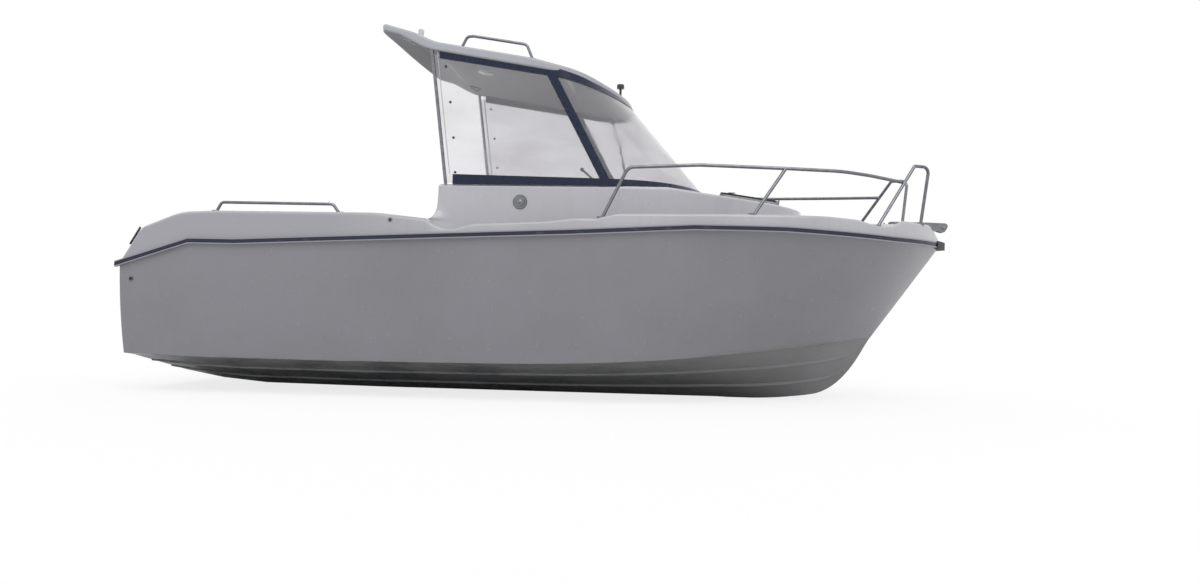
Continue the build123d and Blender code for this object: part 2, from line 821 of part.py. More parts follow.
# Bow pulpit: a rail on two stanchions that ends on a hoop, each side
PULPIT_RAIL = (
    (486, 1160, 1020),
    (672, 1140, 1402),
    (1180, 1122, 1424),
    (1786, 1080, 1410),
    (2191, 970, 1407),
    (2411, 820, 1397),
    (2702, 560, 1379),
)
PULPIT_RADII = (70, 800, 800, 500, 400)
PULPIT_STANCHION = ((1555, 1158, 1060), (1786, 1080, 1410))
PULPIT_HOOP = ((2472, 790, 1020), (2788, 500, 1512), (2908, 430, 1512), (2858, 395, 1070))
HOOP_RADII = (24, 52)
for side, sign in SIDES:
    with BuildPart() as pulpit:
        add(tube([(x, sign * y, z) for x, y, z in PULPIT_RAIL], PULPIT_RADII))
        add(tube([(x, sign * y, z) for x, y, z in PULPIT_HOOP], HOOP_RADII))
        start, end = PULPIT_STANCHION
        add(rod((start[0], sign * start[1], start[2]), (end[0], sign * end[1], end[2])))
        for x, y, z in (PULPIT_RAIL[0], PULPIT_STANCHION[0], PULPIT_HOOP[0], PULPIT_HOOP[-1]):
            top_z = along(COAMING_TOP, x)
            add(rod((x, sign * y, top_z - foot_bite), (x, sign * y, top_z + foot_height), foot_radius))
        add(deck_moulding.part, mode=Mode.SUBTRACT)
        with BuildSketch(Plane.XY.offset(1010)):
            Rectangle(8000, 2 * half_span)
        extrude(amount=800, mode=Mode.INTERSECT)
    pulpit.part.label = "pulpit_" + side
    export_step(pulpit.part, "parts/pulpit_" + side + ".step")

# Stern rails on the coamings and grab rails on the roof
STERN_RAIL = ((-2400, 1085, 1030), (-2350, 1085, 1121), (-1500, 1085, 1117), (-1438, 1085, 1030))
STERN_RAIL_RADII = (35, 40)
with BuildPart() as stern_rails:
    for side, sign in SIDES:
        add(tube([(x, sign * y, z) for x, y, z in STERN_RAIL], STERN_RAIL_RADII, small_tube_radius))
        for x, y, z in (STERN_RAIL[0], STERN_RAIL[-1]):
            foot_z = along(COAMING_TOP, x) + small_foot_height
            add(rod((x, sign * y, z), (x, sign * y, foot_z), small_foot_radius))
    add(deck_moulding.part, mode=Mode.SUBTRACT)
    with BuildSketch(Plane.XY.offset(1045)):
        Rectangle(8000, 2 * half_span)
    extrude(amount=300, mode=Mode.INTERSECT)
stern_rails.part.label = "stern_rails"
export_step(stern_rails.part, "parts/stern_rails.step")

roof_rail_y = 700
ROOF_RAIL = ((-655, 2359), (-610, 2447), (-560, 2450), (-150, 2386), (-102, 2270))
ROOF_RAIL_RADII = (40, 60, 45)
with BuildPart() as roof_rails:
    for side, sign in SIDES:
        y = sign * roof_rail_y
        add(tube([(x, y, z) for x, z in ROOF_RAIL], ROOF_RAIL_RADII, small_tube_radius))
        for x, z in (ROOF_RAIL[0], ROOF_RAIL[-1]):
            top_z = roof_height(ROOF_TOP, x, y)
            add(rod((x, y, top_z - roof_bite), (x, y, top_z + small_foot_height), small_foot_radius))
    add(roof.part, mode=Mode.SUBTRACT)
roof_rails.part.label = "roof_rails"
export_step(roof_rails.part, "parts/roof_rails.step")

# Two-post cleats: one on each stern quarter, one across the foredeck
cleat_length = 150
cleat_radius = 8
cleat_post_spacing = 56
cleat_height = 40


def cleat(plane):
    """Two-post cleat on plane, its bar along the plane's x."""
    with BuildPart() as shape:
        with BuildSketch(plane):
            RectangleRounded(cleat_post_spacing + 50, 34, 12)
        extrude(amount=5)
        with BuildSketch(plane):
            with Locations((-cleat_post_spacing / 2, 0), (cleat_post_spacing / 2, 0)):
                Circle(cleat_radius)
        extrude(amount=cleat_height)
        bar_start = plane.from_local_coords((-cleat_length / 2, 0, cleat_height))
        bar_end = plane.from_local_coords((cleat_length / 2, 0, cleat_height))
        add(rod(tuple(bar_start), tuple(bar_end), cleat_radius))
    return shape.part


stern_slope = atan2(COAMING_TOP[1][1] - COAMING_TOP[0][1], COAMING_TOP[1][0] - COAMING_TOP[0][0])
stern_cleat_y = 1060
stern_cleat_down = 95
with BuildPart() as stern_cleats:
    for side, sign in SIDES:
        base = (
            COAMING_TOP[1][0] - stern_cleat_down * cos(stern_slope),
            sign * stern_cleat_y,
            COAMING_TOP[1][1] - stern_cleat_down * sin(stern_slope),
        )
        along_slope = (cos(stern_slope), 0, sin(stern_slope))
        add(cleat(Plane(origin=base, x_dir=along_slope, z_dir=(-sin(stern_slope), 0, cos(stern_slope)))))
stern_cleats.part.label = "stern_cleats"
export_step(stern_cleats.part, "parts/stern_cleats.step")

bow_cleat_x = 2290
with BuildPart() as bow_cleat:
    add(cleat(Plane(origin=(bow_cleat_x, 0, BOW_DECK[1]), x_dir=(0, 1, 0), z_dir=(0, 0, 1))))
    add(deck_moulding.part, mode=Mode.SUBTRACT)
bow_cleat.part.label = "bow_cleat"
export_step(bow_cleat.part, "parts/bow_cleat.step")

# Bow roller: a channel with two cheeks, a cross pin and a turning wheel
roller_aft_x = 2690
roller_front_x = 3159
roller_half = 36
roller_wall = 5
roller_base_z = BOW_DECK[1]
roller_wheel_radius = 24
roller_wheel_half = 28
roller_pin_radius = 6
roller_pin = (3112, 1084)
with BuildPart() as bow_roller:
    with BuildSketch(Plane.XZ):
        with BuildLine():
            FilletPolyline(
                (roller_aft_x, roller_base_z),
                (roller_aft_x, roller_base_z + 30),
                (2985, roller_base_z + 26),
                (roller_front_x, roller_base_z + 20),
                (roller_front_x - 45, 1044),
                (3000, 1072),
                (2960, roller_base_z),
                close=True,
                radius=(4, 8, 60, 24, 24, 30, 4),
            )
        make_face()
    extrude(amount=roller_half, both=True)
    with BuildSketch(Plane.XZ):
        with Locations(((roller_aft_x + roller_front_x) / 2, roller_base_z + 100 + roller_wall)):
            Rectangle(600, 200)
    extrude(amount=roller_half - roller_wall, both=True, mode=Mode.SUBTRACT)
    with BuildSketch(Plane.XZ):
        with Locations((roller_front_x, roller_base_z)):
            Rectangle(200, 200)
    extrude(amount=roller_half - roller_wall, both=True, mode=Mode.SUBTRACT)
    with BuildSketch(Plane.XZ):
        with Locations(roller_pin):
            Circle(roller_pin_radius)
    extrude(amount=roller_half + 5, both=True)
    add(deck_moulding.part, mode=Mode.SUBTRACT)
    add(bow_cap.part, mode=Mode.SUBTRACT)
bow_roller.part.label = "bow_roller"
export_step(bow_roller.part, "parts/bow_roller.step")

with BuildPart() as roller_wheel:
    with BuildSketch(Plane.YZ.offset(roller_pin[0])):
        with BuildLine():
            Polyline(
                (-roller_wheel_half, roller_pin[1] + roller_pin_radius + 0.5),
                (-roller_wheel_half, roller_pin[1] + roller_wheel_radius),
                (-roller_wheel_half + 8, roller_pin[1] + roller_wheel_radius),
            )
            ThreePointArc(
                (-roller_wheel_half + 8, roller_pin[1] + roller_wheel_radius),
                (0, roller_pin[1] + 14),
                (roller_wheel_half - 8, roller_pin[1] + roller_wheel_radius),
            )
            Polyline(
                (roller_wheel_half - 8, roller_pin[1] + roller_wheel_radius),
                (roller_wheel_half, roller_pin[1] + roller_wheel_radius),
                (roller_wheel_half, roller_pin[1] + roller_pin_radius + 0.5),
                (-roller_wheel_half, roller_pin[1] + roller_pin_radius + 0.5),
            )
        make_face()
    revolve(axis=Axis((roller_pin[0], 0, roller_pin[1]), (0, 1, 0)))
roller_wheel.part.label = "roller_wheel"
export_step(roller_wheel.part, "parts/roller_wheel.step")

# Filler cap, coaming fittings and hull drains
filler = (-146, 1169)
with BuildPart() as filler_cap:
    with BuildSketch(Plane.XZ.offset(house_half)):
        with Locations(filler):
            Circle(50)
    extrude(amount=7)
    with BuildSketch(Plane.XZ.offset(house_half + 7)):
        with Locations(filler):
            Circle(38)
    extrude(amount=7, taper=20)
filler_cap.part.label = "filler_cap"
export_step(filler_cap.part, "parts/filler_cap.step")

# Fittings through the skin, columns: x, z, radius, reach
COAMING_FITTING = (-1040, 1000, 17, 1181)
HULL_DRAIN = (-3010, 541, 15, 1140)
with BuildPart() as skin_fittings:
    for x, z, radius, reach in (COAMING_FITTING, HULL_DRAIN):
        for side, sign in SIDES:
            add(rod((x, sign * (reach - 40), z), (x, sign * (reach + 6), z), radius))
    add(deck_moulding.part, mode=Mode.SUBTRACT)
    add(hull.part, mode=Mode.SUBTRACT)
skin_fittings.part.label = "skin_fittings"
export_step(skin_fittings.part, "parts/skin_fittings.step")

# Stern and bow lights on the roof, columns: x, stem radius, dome radius, dome low z, dome high z, rounding
STERN_LIGHT = (-1160, 12, 25, 2600, 2690, 20)
BOW_LIGHT = (517, 10, 30, 2190, 2228, 12)
light_foot_radius = 30
with BuildPart() as roof_lights:
    for x, stem_radius, dome_radius, low_z, high_z, rounding in (STERN_LIGHT, BOW_LIGHT):
        top_z = roof_height(ROOF_TOP, x, 0)
        with BuildSketch(Plane.XY.offset(low_z)):
            with Locations((x, 0)):
                Circle(dome_radius)
        extrude(amount=high_z - low_z)
        fillet(roof_lights.edges(Select.LAST).sort_by(Axis.Z)[-1], rounding)
        add(rod((x, 0, top_z - roof_bite), (x, 0, low_z + 10), stem_radius))
        add(rod((x, 0, top_z - roof_bite), (x, 0, top_z + 10), light_foot_radius))
    add(roof.part, mode=Mode.SUBTRACT)
roof_lights.part.label = "roof_lights"
export_step(roof_lights.part, "parts/roof_lights.step")

dome_light_x = -600
dome_light_height = 18
dome_light_seat = 3
under_slope = atan2(ROOF_UNDER[3][1] - ROOF_UNDER[2][1], ROOF_UNDER[3][0] - ROOF_UNDER[2][0])
under_plane = Plane(
    origin=(dome_light_x, 0, roof_height(ROOF_UNDER, dome_light_x, 0)),
    x_dir=(cos(under_slope), 0, sin(under_slope)),
    z_dir=(sin(under_slope), 0, -cos(under_slope)),
)
with BuildPart() as dome_light:
    with BuildSketch(under_plane.offset(-dome_light_seat)):
        Circle(65)
    extrude(amount=dome_light_height + dome_light_seat)
    fillet(dome_light.faces().sort_by(Axis.Z)[0].edges(), 8)
    add(roof.part, mode=Mode.SUBTRACT)
dome_light.part.label = "dome_light"
export_step(dome_light.part, "parts/dome_light.step")

# Hinges: fixed lugs with a pin, and barrels on each lid that turn on it
pin_radius = 3
barrel_radius = 6.5
barrel_length = 30
bore_clearance = 0.4
lug_thickness = 6
lug_gap = 0.6
strap_thickness = 5
hinge_offset = 10


def across(plane, offset):
    """Cross-section plane of a hinge: its x and y are the hinge plane's y and z."""
    return Plane(origin=plane.origin + plane.x_dir * offset, x_dir=plane.y_dir, z_dir=plane.x_dir)


def hinge_barrels(plane, places, reach):
    """Barrels along the plane's x, each with a strap that lies on a lid towards -y."""
    with BuildPart() as shape:
        for place in places:
            with BuildSketch(across(plane, place)):
                Circle(barrel_radius)
                with Locations((-reach / 2, -barrel_radius + strap_thickness / 2)):
                    Rectangle(reach, strap_thickness)
                Circle(pin_radius + bore_clearance, mode=Mode.SUBTRACT)
            extrude(amount=barrel_length / 2, both=True)
    return shape.part


def hinge_lugs(plane, places, depth):
    """Pairs of lugs with a pin along the plane's x; the lugs stand on a seat depth below the pin."""
    outer = barrel_length / 2 + lug_gap + lug_thickness
    with BuildPart() as shape:
        for place in places:
            for start in (place - outer, place + outer - lug_thickness):
                with BuildSketch(across(plane, start)):
                    Circle(barrel_radius)
                    with Locations((0, -depth / 2)):
                        Rectangle(2 * barrel_radius, depth)
                extrude(amount=lug_thickness)
            with BuildSketch(across(plane, place - outer)):
                Circle(pin_radius)
            extrude(amount=2 * outer)
    return shape.part


# Foredeck hatch: frame on its pad, and a lid hinged at the forward edge
hatch_lid_half = hatch_length / 2 - 4
hatch_lid_base = hatch_pad + hatch_frame_height + hatch_gap
hatch_axis_up = hatch_lid_base + hatch_lid_thickness + barrel_radius
hatch_axis_plane = Plane(
    origin=hatch_plane.from_local_coords((hatch_lid_half + hinge_offset + 4, 0, hatch_axis_up)),
    x_dir=(0, -1, 0),
    z_dir=hatch_plane.z_dir,
)
hatch_hinges = (-130, 130)
with BuildPart() as hatch_frame:
    with BuildSketch(hatch_plane.offset(hatch_pad)):
        RectangleRounded(hatch_length, hatch_width, 50)
        RectangleRounded(
            hatch_length - 2 * hatch_frame_rim, hatch_width - 2 * hatch_frame_rim, 30, mode=Mode.SUBTRACT
        )
    extrude(amount=hatch_frame_height)
hatch_frame.part.label = "hatch_frame"
export_step(hatch_frame.part, "parts/hatch_frame.step")

with BuildPart() as hatch_lid:
    with BuildSketch(hatch_plane.offset(hatch_lid_base)):
        RectangleRounded(2 * hatch_lid_half, 2 * hatch_lid_half, 48)
    extrude(amount=hatch_lid_thickness)
    add(hinge_barrels(hatch_axis_plane, hatch_hinges, 50))
hatch_lid.part.label = "hatch_lid"
export_step(hatch_lid.part, "parts/hatch_lid.step")

# Anchor locker lid, flush in its rebate and hinged at the forward edge
anchor_lid_half = locker_length / 2 - lid_gap
anchor_axis_plane = Plane(
    origin=(locker_x + anchor_lid_half + hinge_offset, 0, BOW_DECK[1] + barrel_radius),
    x_dir=(0, -1, 0),
    z_dir=(0, 0, 1),
)
anchor_hinges = (-90, 90)
with BuildPart() as anchor_lid:
    with BuildSketch(Plane.XY.offset(BOW_DECK[1] - locker_lid_thickness)):
        with Locations((locker_x, 0)):
            RectangleRounded(2 * anchor_lid_half, locker_width - 2 * lid_gap, 36)
    extrude(amount=100)
    add(deck_under.part, mode=Mode.INTERSECT)
    with BuildSketch(Plane.XY.offset(BOW_DECK[1] - locker_lid_thickness)):
        with Locations(*[(locker_x + anchor_lid_half - 20, y) for y in anchor_hinges]):
            Rectangle(40, barrel_length + 10)
    extrude(amount=locker_lid_thickness)
    add(hinge_barrels(anchor_axis_plane, anchor_hinges, 45))
anchor_lid.part.label = "anchor_lid"
export_step(anchor_lid.part, "parts/anchor_lid.step")

# Stern moulding: motor well in the middle, a locker each side with a lid flush in its top
stern_front_x = -2560
stern_top_z = 655
well_floor_z = 330
well_floor_thickness = 20
well_front_x = -2650
locker_aft_x = -2960
locker_front_x = -2610
locker_inner_y = 410
locker_outer_y = 880
locker_floor_z = 230
stern_lid_thickness = 15
stern_ledge = 15
fit = 0.3
with BuildPart() as stern_moulding:
    with BuildSketch(Plane.XY.offset(sole_z - sole_thickness)):
        with Locations(((cockpit_aft_x + stern_front_x) / 2, 0)):
            Rectangle(stern_front_x - cockpit_aft_x - fit, 2 * (cockpit_half - fit))
    extrude(amount=stern_top_z - sole_z + sole_thickness)
    with BuildSketch(Plane.XY.offset(well_floor_z)):
        with Locations(((cockpit_aft_x + well_front_x) / 2 - 10, 0)):
            Rectangle(well_front_x - cockpit_aft_x + 20, 2 * motor_cut_half)
    extrude(amount=1000, mode=Mode.SUBTRACT)
    with BuildSketch(Plane.XY):
        with Locations(((cockpit_aft_x + well_front_x) / 2 - 10, 0)):
            Rectangle(well_front_x - cockpit_aft_x + 20, 2 * motor_cut_half)
    extrude(amount=well_floor_z - well_floor_thickness, mode=Mode.SUBTRACT)
    for side, sign in SIDES:
        centre = ((locker_aft_x + locker_front_x) / 2, sign * (locker_inner_y + locker_outer_y) / 2)
        length = locker_front_x - locker_aft_x
        width = locker_outer_y - locker_inner_y
        with BuildSketch(Plane.XY.offset(locker_floor_z)):
            with Locations(centre):
                RectangleRounded(length, width, 30)
        extrude(amount=1000, mode=Mode.SUBTRACT)
        with BuildSketch(Plane.XY.offset(stern_top_z - stern_lid_thickness - lid_seat)):
            with Locations(centre):
                RectangleRounded(length + 2 * stern_ledge, width + 2 * stern_ledge, 40)
        extrude(amount=1000, mode=Mode.SUBTRACT)
stern_moulding.part.label = "stern_moulding"
export_step(stern_moulding.part, "parts/stern_moulding.step")

stern_hinges = (-140, 140)
stern_axis_planes = {}
for side, sign in SIDES:
    centre_y = sign * (locker_inner_y + locker_outer_y) / 2
    lid_aft_x = locker_aft_x - stern_ledge + lid_gap
    lid_front_x = locker_front_x + stern_ledge - lid_gap
    stern_axis_planes[side] = Plane(
        origin=(lid_aft_x - hinge_offset, centre_y, stern_top_z + barrel_radius),
        x_dir=(0, 1, 0),
        z_dir=(0, 0, 1),
    )
    with BuildPart() as stern_lid:
        with BuildSketch(Plane.XY.offset(stern_top_z - stern_lid_thickness)):
            with Locations(((lid_aft_x + lid_front_x) / 2, centre_y)):
                RectangleRounded(
                    lid_front_x - lid_aft_x,
                    locker_outer_y - locker_inner_y + 2 * (stern_ledge - lid_gap),
                    36,
                )
        extrude(amount=stern_lid_thickness)
        add(hinge_barrels(stern_axis_planes[side], stern_hinges, 45))
    stern_lid.part.label = "stern_lid_" + side
    export_step(stern_lid.part, "parts/stern_lid_" + side + ".step")

# Cockpit, wheelhouse and cuddy sole
with BuildPart() as sole:
    add(inside.part)
    add(cuddy_space.part)
    with BuildSketch(Plane.XY.offset(sole_z - sole_thickness)):
        with Locations(((stern_front_x + cuddy_front_x) / 2, 0)):
            Rectangle(cuddy_front_x - stern_front_x, 2 * half_span)
    extrude(amount=sole_thickness, mode=Mode.INTERSECT)
sole.part.label = "sole"
export_step(sole.part, "parts/sole.step")

# Cabin bulkhead with the companionway, and its door
door_way_low_y = -180
door_way_high_y = 400
door_way_low_z = 230
door_way_high_z = 1190
door_gap = 5
door_thickness = 20
door_proud = 2
door_aft_x = bulkhead_x - door_proud
with BuildPart() as bulkhead:
    add(cuddy_space.part)
    with BuildSketch(Plane.XY.offset(sole_z)):
        with Locations((bulkhead_x + bulkhead_thickness / 2, 0)):
            Rectangle(bulkhead_thickness, 2 * half_span)
    extrude(amount=1200, mode=Mode.INTERSECT)
    with BuildSketch(Plane.YZ.offset(bulkhead_x - 10)):
        with Locations(((door_way_low_y + door_way_high_y) / 2, (door_way_low_z + door_way_high_z) / 2)):
            RectangleRounded(door_way_high_y - door_way_low_y, door_way_high_z - door_way_low_z, 50)
    extrude(amount=bulkhead_thickness + 20, mode=Mode.SUBTRACT)
bulkhead.part.label = "bulkhead"
export_step(bulkhead.part, "parts/bulkhead.step")

door_axis_plane = Plane(
    origin=(
        door_aft_x - barrel_radius,
        door_way_high_y - door_gap + hinge_offset,
        (door_way_low_z + door_way_high_z) / 2,
    ),
    x_dir=(0, 0, 1),
    z_dir=(-1, 0, 0),
)
door_hinges = (-330, 330)
with BuildPart() as cabin_door:
    with BuildSketch(Plane.YZ.offset(door_aft_x)):
        with Locations(((door_way_low_y + door_way_high_y) / 2, (door_way_low_z + door_way_high_z) / 2)):
            RectangleRounded(
                door_way_high_y - door_way_low_y - 2 * door_gap,
                door_way_high_z - door_way_low_z - 2 * door_gap,
                46,
            )
    extrude(amount=door_thickness)
    add(hinge_barrels(door_axis_plane, door_hinges, 45))
    add(rod((door_aft_x, door_way_low_y + 50, 700), (door_aft_x - 34, door_way_low_y + 50, 700), 9))
    add(rod((door_aft_x - 34, door_way_low_y + 50, 700), (door_aft_x - 42, door_way_low_y + 50, 700), 22))
cabin_door.part.label = "cabin_door"
export_step(cabin_door.part, "parts/cabin_door.step")

# Fixed halves of every hinge
with BuildPart() as hinges:
    add(hinge_lugs(hatch_axis_plane, hatch_hinges, hatch_axis_up - hatch_pad))
    add(hinge_lugs(anchor_axis_plane, anchor_hinges, barrel_radius + 6))
    for side, sign in SIDES:
        add(hinge_lugs(stern_axis_planes[side], stern_hinges, barrel_radius))
    add(hinge_lugs(door_axis_plane, door_hinges, barrel_radius + door_proud))
    add(deck_moulding.part, mode=Mode.SUBTRACT)
    add(deckhouse.part, mode=Mode.SUBTRACT)
hinges.part.label = "hinges"
export_step(hinges.part, "parts/hinges.step")

# Motor board on the transom, with two rows of bolt holes
board_thickness = 18
board_half = 200
board_low_z = 90
with BuildPart() as motor_board:
    with BuildSketch(Plane.YZ.offset(transom_x - board_thickness)):
        with Locations((0, (board_low_z + motor_cut_z) / 2)):
            RectangleRounded(2 * board_half, motor_cut_z - board_low_z, 40)
        for y, z in MOTOR_BOLTS:
            with Locations((y, z), (-y, z)):
                Circle(motor_bolt_radius, mode=Mode.SUBTRACT)
    extrude(amount=board_thickness)
motor_board.part.label = "motor_board"
export_step(motor_board.part, "parts/motor_board.step")

# Helm console with a sloped face, boss and bore for the wheel's shaft
console_inner_y = -240
console_top_z = 1230
console_front_x = bulkhead_x - fit
HELM_FACE = ((330, 800), (440, 1180))
helm_slope = atan2(HELM_FACE[1][1] - HELM_FACE[0][1], HELM_FACE[1][0] - HELM_FACE[0][0])
helm_y = -530
helm_share = 0.5
helm_plane = Plane(
    origin=(
        HELM_FACE[0][0] + helm_share * (HELM_FACE[1][0] - HELM_FACE[0][0]),
        helm_y,
        HELM_FACE[0][1] + helm_share * (HELM_FACE[1][1] - HELM_FACE[0][1]),
    ),
    x_dir=(0, -1, 0),
    z_dir=(-sin(helm_slope), 0, cos(helm_slope)),
)
shaft_radius = 11
shaft_clearance = 0.5
boss_height = 30
wheel_radius = 175
wheel_rim = 13
wheel_out = 95
with BuildPart() as console:
    with BuildSketch(Plane.XZ.offset(-console_inner_y)):
        with BuildLine():
            Polyline(
                (console_front_x, sole_z),
                (400, sole_z),
                (400, 300),
                HELM_FACE[0],
                HELM_FACE[1],
                (500, console_top_z),
                (console_front_x, console_top_z),
                close=True,
            )
        make_face()
    extrude(amount=house_inner_half - fit + console_inner_y)
    with BuildSketch(helm_plane):
        Circle(45)
    extrude(amount=boss_height, taper=12)
    with BuildSketch(helm_plane.offset(boss_height)):
        Circle(shaft_radius + shaft_clearance)
    extrude(amount=-boss_height - 30, mode=Mode.SUBTRACT)
console.part.label = "console"
export_step(console.part, "parts/console.step")

with BuildPart() as steering_wheel:
    with BuildSketch(helm_plane.offset(-20)):
        Circle(shaft_radius)
    extrude(amount=wheel_out + 20)
    with BuildSketch(helm_plane.offset(wheel_out - 25)):
        Circle(38)
    extrude(amount=30, taper=15)
    rim_start = helm_plane.from_local_coords((wheel_radius, 0, wheel_out))
    with BuildSketch(Plane(origin=rim_start, x_dir=helm_plane.x_dir, z_dir=helm_plane.y_dir)):
        Circle(wheel_rim)
    revolve(axis=Axis(helm_plane.origin, helm_plane.z_dir))
    for angle in (90, 210, 330):
        spoke = Vector(cos(radians(angle)), sin(radians(angle)), 0)
        start = helm_plane.from_local_coords(tuple(spoke * 25 + Vector(0, 0, wheel_out - 12)))
        end = helm_plane.from_local_coords(tuple(spoke * wheel_radius + Vector(0, 0, wheel_out)))
        add(rod(tuple(start), tuple(end), 9))
steering_wheel.part.label = "steering_wheel"
export_step(steering_wheel.part, "parts/steering_wheel.step")

# Throttle box on the console's top, with its lever drawn back
throttle_x = 490
throttle_y = -720
throttle_grip_x = 297
throttle_grip_z = 1432
with BuildPart() as throttle:
    with BuildSketch(Plane.XY.offset(console_top_z)):
        with Locations((throttle_x, throttle_y)):
            RectangleRounded(120, 70, 15)
    extrude(amount=45)
    add(rod((throttle_x, throttle_y, console_top_z + 35), (throttle_grip_x, throttle_y, throttle_grip_z), 8))
    add(
        rod(
            (throttle_grip_x, throttle_y - 28, throttle_grip_z),
            (throttle_grip_x, throttle_y + 28, throttle_grip_z),
            14,
        )
    )
throttle.part.label = "throttle"
export_step(throttle.part, "parts/throttle.step")

# Two seats on pedestals, with a seat pad and a back pad each
seat_x = -170
seat_y = 500
seat_top_z = 640
seat_length = 420
seat_width = 430
back_height = 430
back_thickness = 28
back_lean = 75 / 430
back_pad_low = 110
back_pad_high = 420
back_pad_thickness = 75
seat_pad_height = 95
seat_thickness = 30
seat_foot_radius = 130
seat_foot_height = 10
seat_post_radius = 40


def back_face_x(height):
    """x of the seat back's front face at a height above the seat."""
    return seat_x - seat_length / 2 + 30 - back_lean * height


with BuildPart() as seats:
    for side, sign in SIDES:
        with BuildSketch(Plane.XY.offset(sole_z)):
            with Locations((seat_x, sign * seat_y)):
                Circle(seat_foot_radius)
        extrude(amount=seat_foot_height)
        with BuildSketch(Plane.XY.offset(sole_z)):
            with Locations((seat_x, sign * seat_y)):
                Circle(seat_post_radius)
        extrude(amount=seat_top_z - sole_z - seat_thickness)
        with BuildSketch(Plane.XY.offset(seat_top_z - seat_thickness)):
            with Locations((seat_x, sign * seat_y)):
                RectangleRounded(seat_length, seat_width, 60)
        extrude(amount=seat_thickness)
        with BuildSketch(Plane.XZ.offset(-sign * seat_y)):
            with BuildLine():
                Polyline(
                    (back_face_x(0), seat_top_z),
                    (back_face_x(0) - back_thickness, seat_top_z),
                    (back_face_x(back_height) - back_thickness, seat_top_z + back_height),
                    (back_face_x(back_height), seat_top_z + back_height),
                    close=True,
                )
            make_face()
        extrude(amount=seat_width / 2 - 20, both=True)
seats.part.label = "seats"
export_step(seats.part, "parts/seats.step")

with BuildPart() as pads:
    for side, sign in SIDES:
        with BuildSketch(Plane.XY.offset(seat_top_z + fit)):
            with Locations((seat_x + 25, sign * seat_y)):
                RectangleRounded(seat_length - 60, seat_width - 10, 50)
        extrude(amount=seat_pad_height)
        with BuildSketch(Plane.XZ.offset(-sign * seat_y)):
            with BuildLine():
                Polyline(
                    (back_face_x(back_pad_low) + fit, seat_top_z + back_pad_low),
                    (back_face_x(back_pad_low) + back_pad_thickness, seat_top_z + back_pad_low),
                    (back_face_x(back_pad_high) + back_pad_thickness - 10, seat_top_z + back_pad_high),
                    (back_face_x(back_pad_high) + fit, seat_top_z + back_pad_high),
                    close=True,
                )
            make_face()
        extrude(amount=seat_width / 2 - 25, both=True)
pads.part.label = "pads"
export_step(pads.part, "parts/pads.step")

# Cuddy berth with a foot well, and its cushion
berth_aft_x = 1000
berth_top_z = 480
berth_wall_gap = 15
cushion_height = 80
foot_well_x = 1330
foot_well_half = 190
with BuildPart() as berth_form:
    add(cuddy_space.part)
    with BuildSketch(Plane.XY.offset(sole_z)):
        with Locations(((berth_aft_x + cuddy_front_x) / 2, 0)):
            Rectangle(cuddy_front_x - berth_aft_x, 2 * half_span)
        with Locations(((berth_aft_x + foot_well_x) / 2, 0)):
            Rectangle(foot_well_x - berth_aft_x, 2 * foot_well_half, mode=Mode.SUBTRACT)
    extrude(amount=1000, mode=Mode.INTERSECT)
with BuildPart() as berth:
    add(berth_form.part)
    with BuildSketch(Plane.XY.offset(sole_z)):
        Rectangle(8000, 2 * half_span)
    extrude(amount=berth_top_z - sole_z, mode=Mode.INTERSECT)
berth.part.label = "berth"
export_step(berth.part, "parts/berth.step")

with BuildPart() as berth_cushion:
    with BuildSketch(Plane.XY.offset(berth_top_z + fit)):
        with BuildLine():
            Polyline(
                (berth_aft_x + 5, foot_well_half + 5),
                (berth_aft_x + 5, 675),
                (cuddy_mid_x, cuddy_mid_half - berth_wall_gap),
                (cuddy_front_x - berth_wall_gap, cuddy_front_half - berth_wall_gap),
                (cuddy_front_x - berth_wall_gap, -cuddy_front_half + berth_wall_gap),
                (cuddy_mid_x, -cuddy_mid_half + berth_wall_gap),
                (berth_aft_x + 5, -675),
                (berth_aft_x + 5, -foot_well_half - 5),
                (foot_well_x + 5, -foot_well_half - 5),
                (foot_well_x + 5, foot_well_half + 5),
                close=True,
            )
        make_face()
    extrude(amount=cushion_height)
berth_cushion.part.label = "berth_cushion"
export_step(berth_cushion.part, "parts/berth_cushion.step")

# Wiper hanging from its spindle at the top of the windscreen's port side
WIPER_LINE = ((400, 722, 2036), (500, 850, 1620))
wiper_out = Vector(0.45, 0.85, 0.25).normalized()
with BuildPart() as wiper:
    spindle = Vector(*WIPER_LINE[0])
    tip = Vector(*WIPER_LINE[1])
    with BuildSketch(Plane(origin=spindle - wiper_out * 30, z_dir=wiper_out)):
        Circle(14)
    extrude(amount=50)
    add(rod(tuple(spindle + wiper_out * 14), tuple(tip + wiper_out * 20), 5))
    add(rod(tuple(tip + wiper_out * 20), tuple(tip + wiper_out * 8), 6))
    add(house_skin(0), mode=Mode.SUBTRACT)
    add(upper_band.part, mode=Mode.SUBTRACT)
wiper.part.label = "wiper"
export_step(wiper.part, "parts/wiper.step")
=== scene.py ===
"""Looks of the pilothouse boat: materials, cushions, trim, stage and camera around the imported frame.

Metres, in the frame's axes: +X forward, +Y port, +Z up, origin on the waterline amidships.
"""
from math import atan2, cos, dist, pi, radians, sin

import bmesh
import bpy
from mathutils import Matrix, Vector
from mathutils.bvhtree import BVHTree


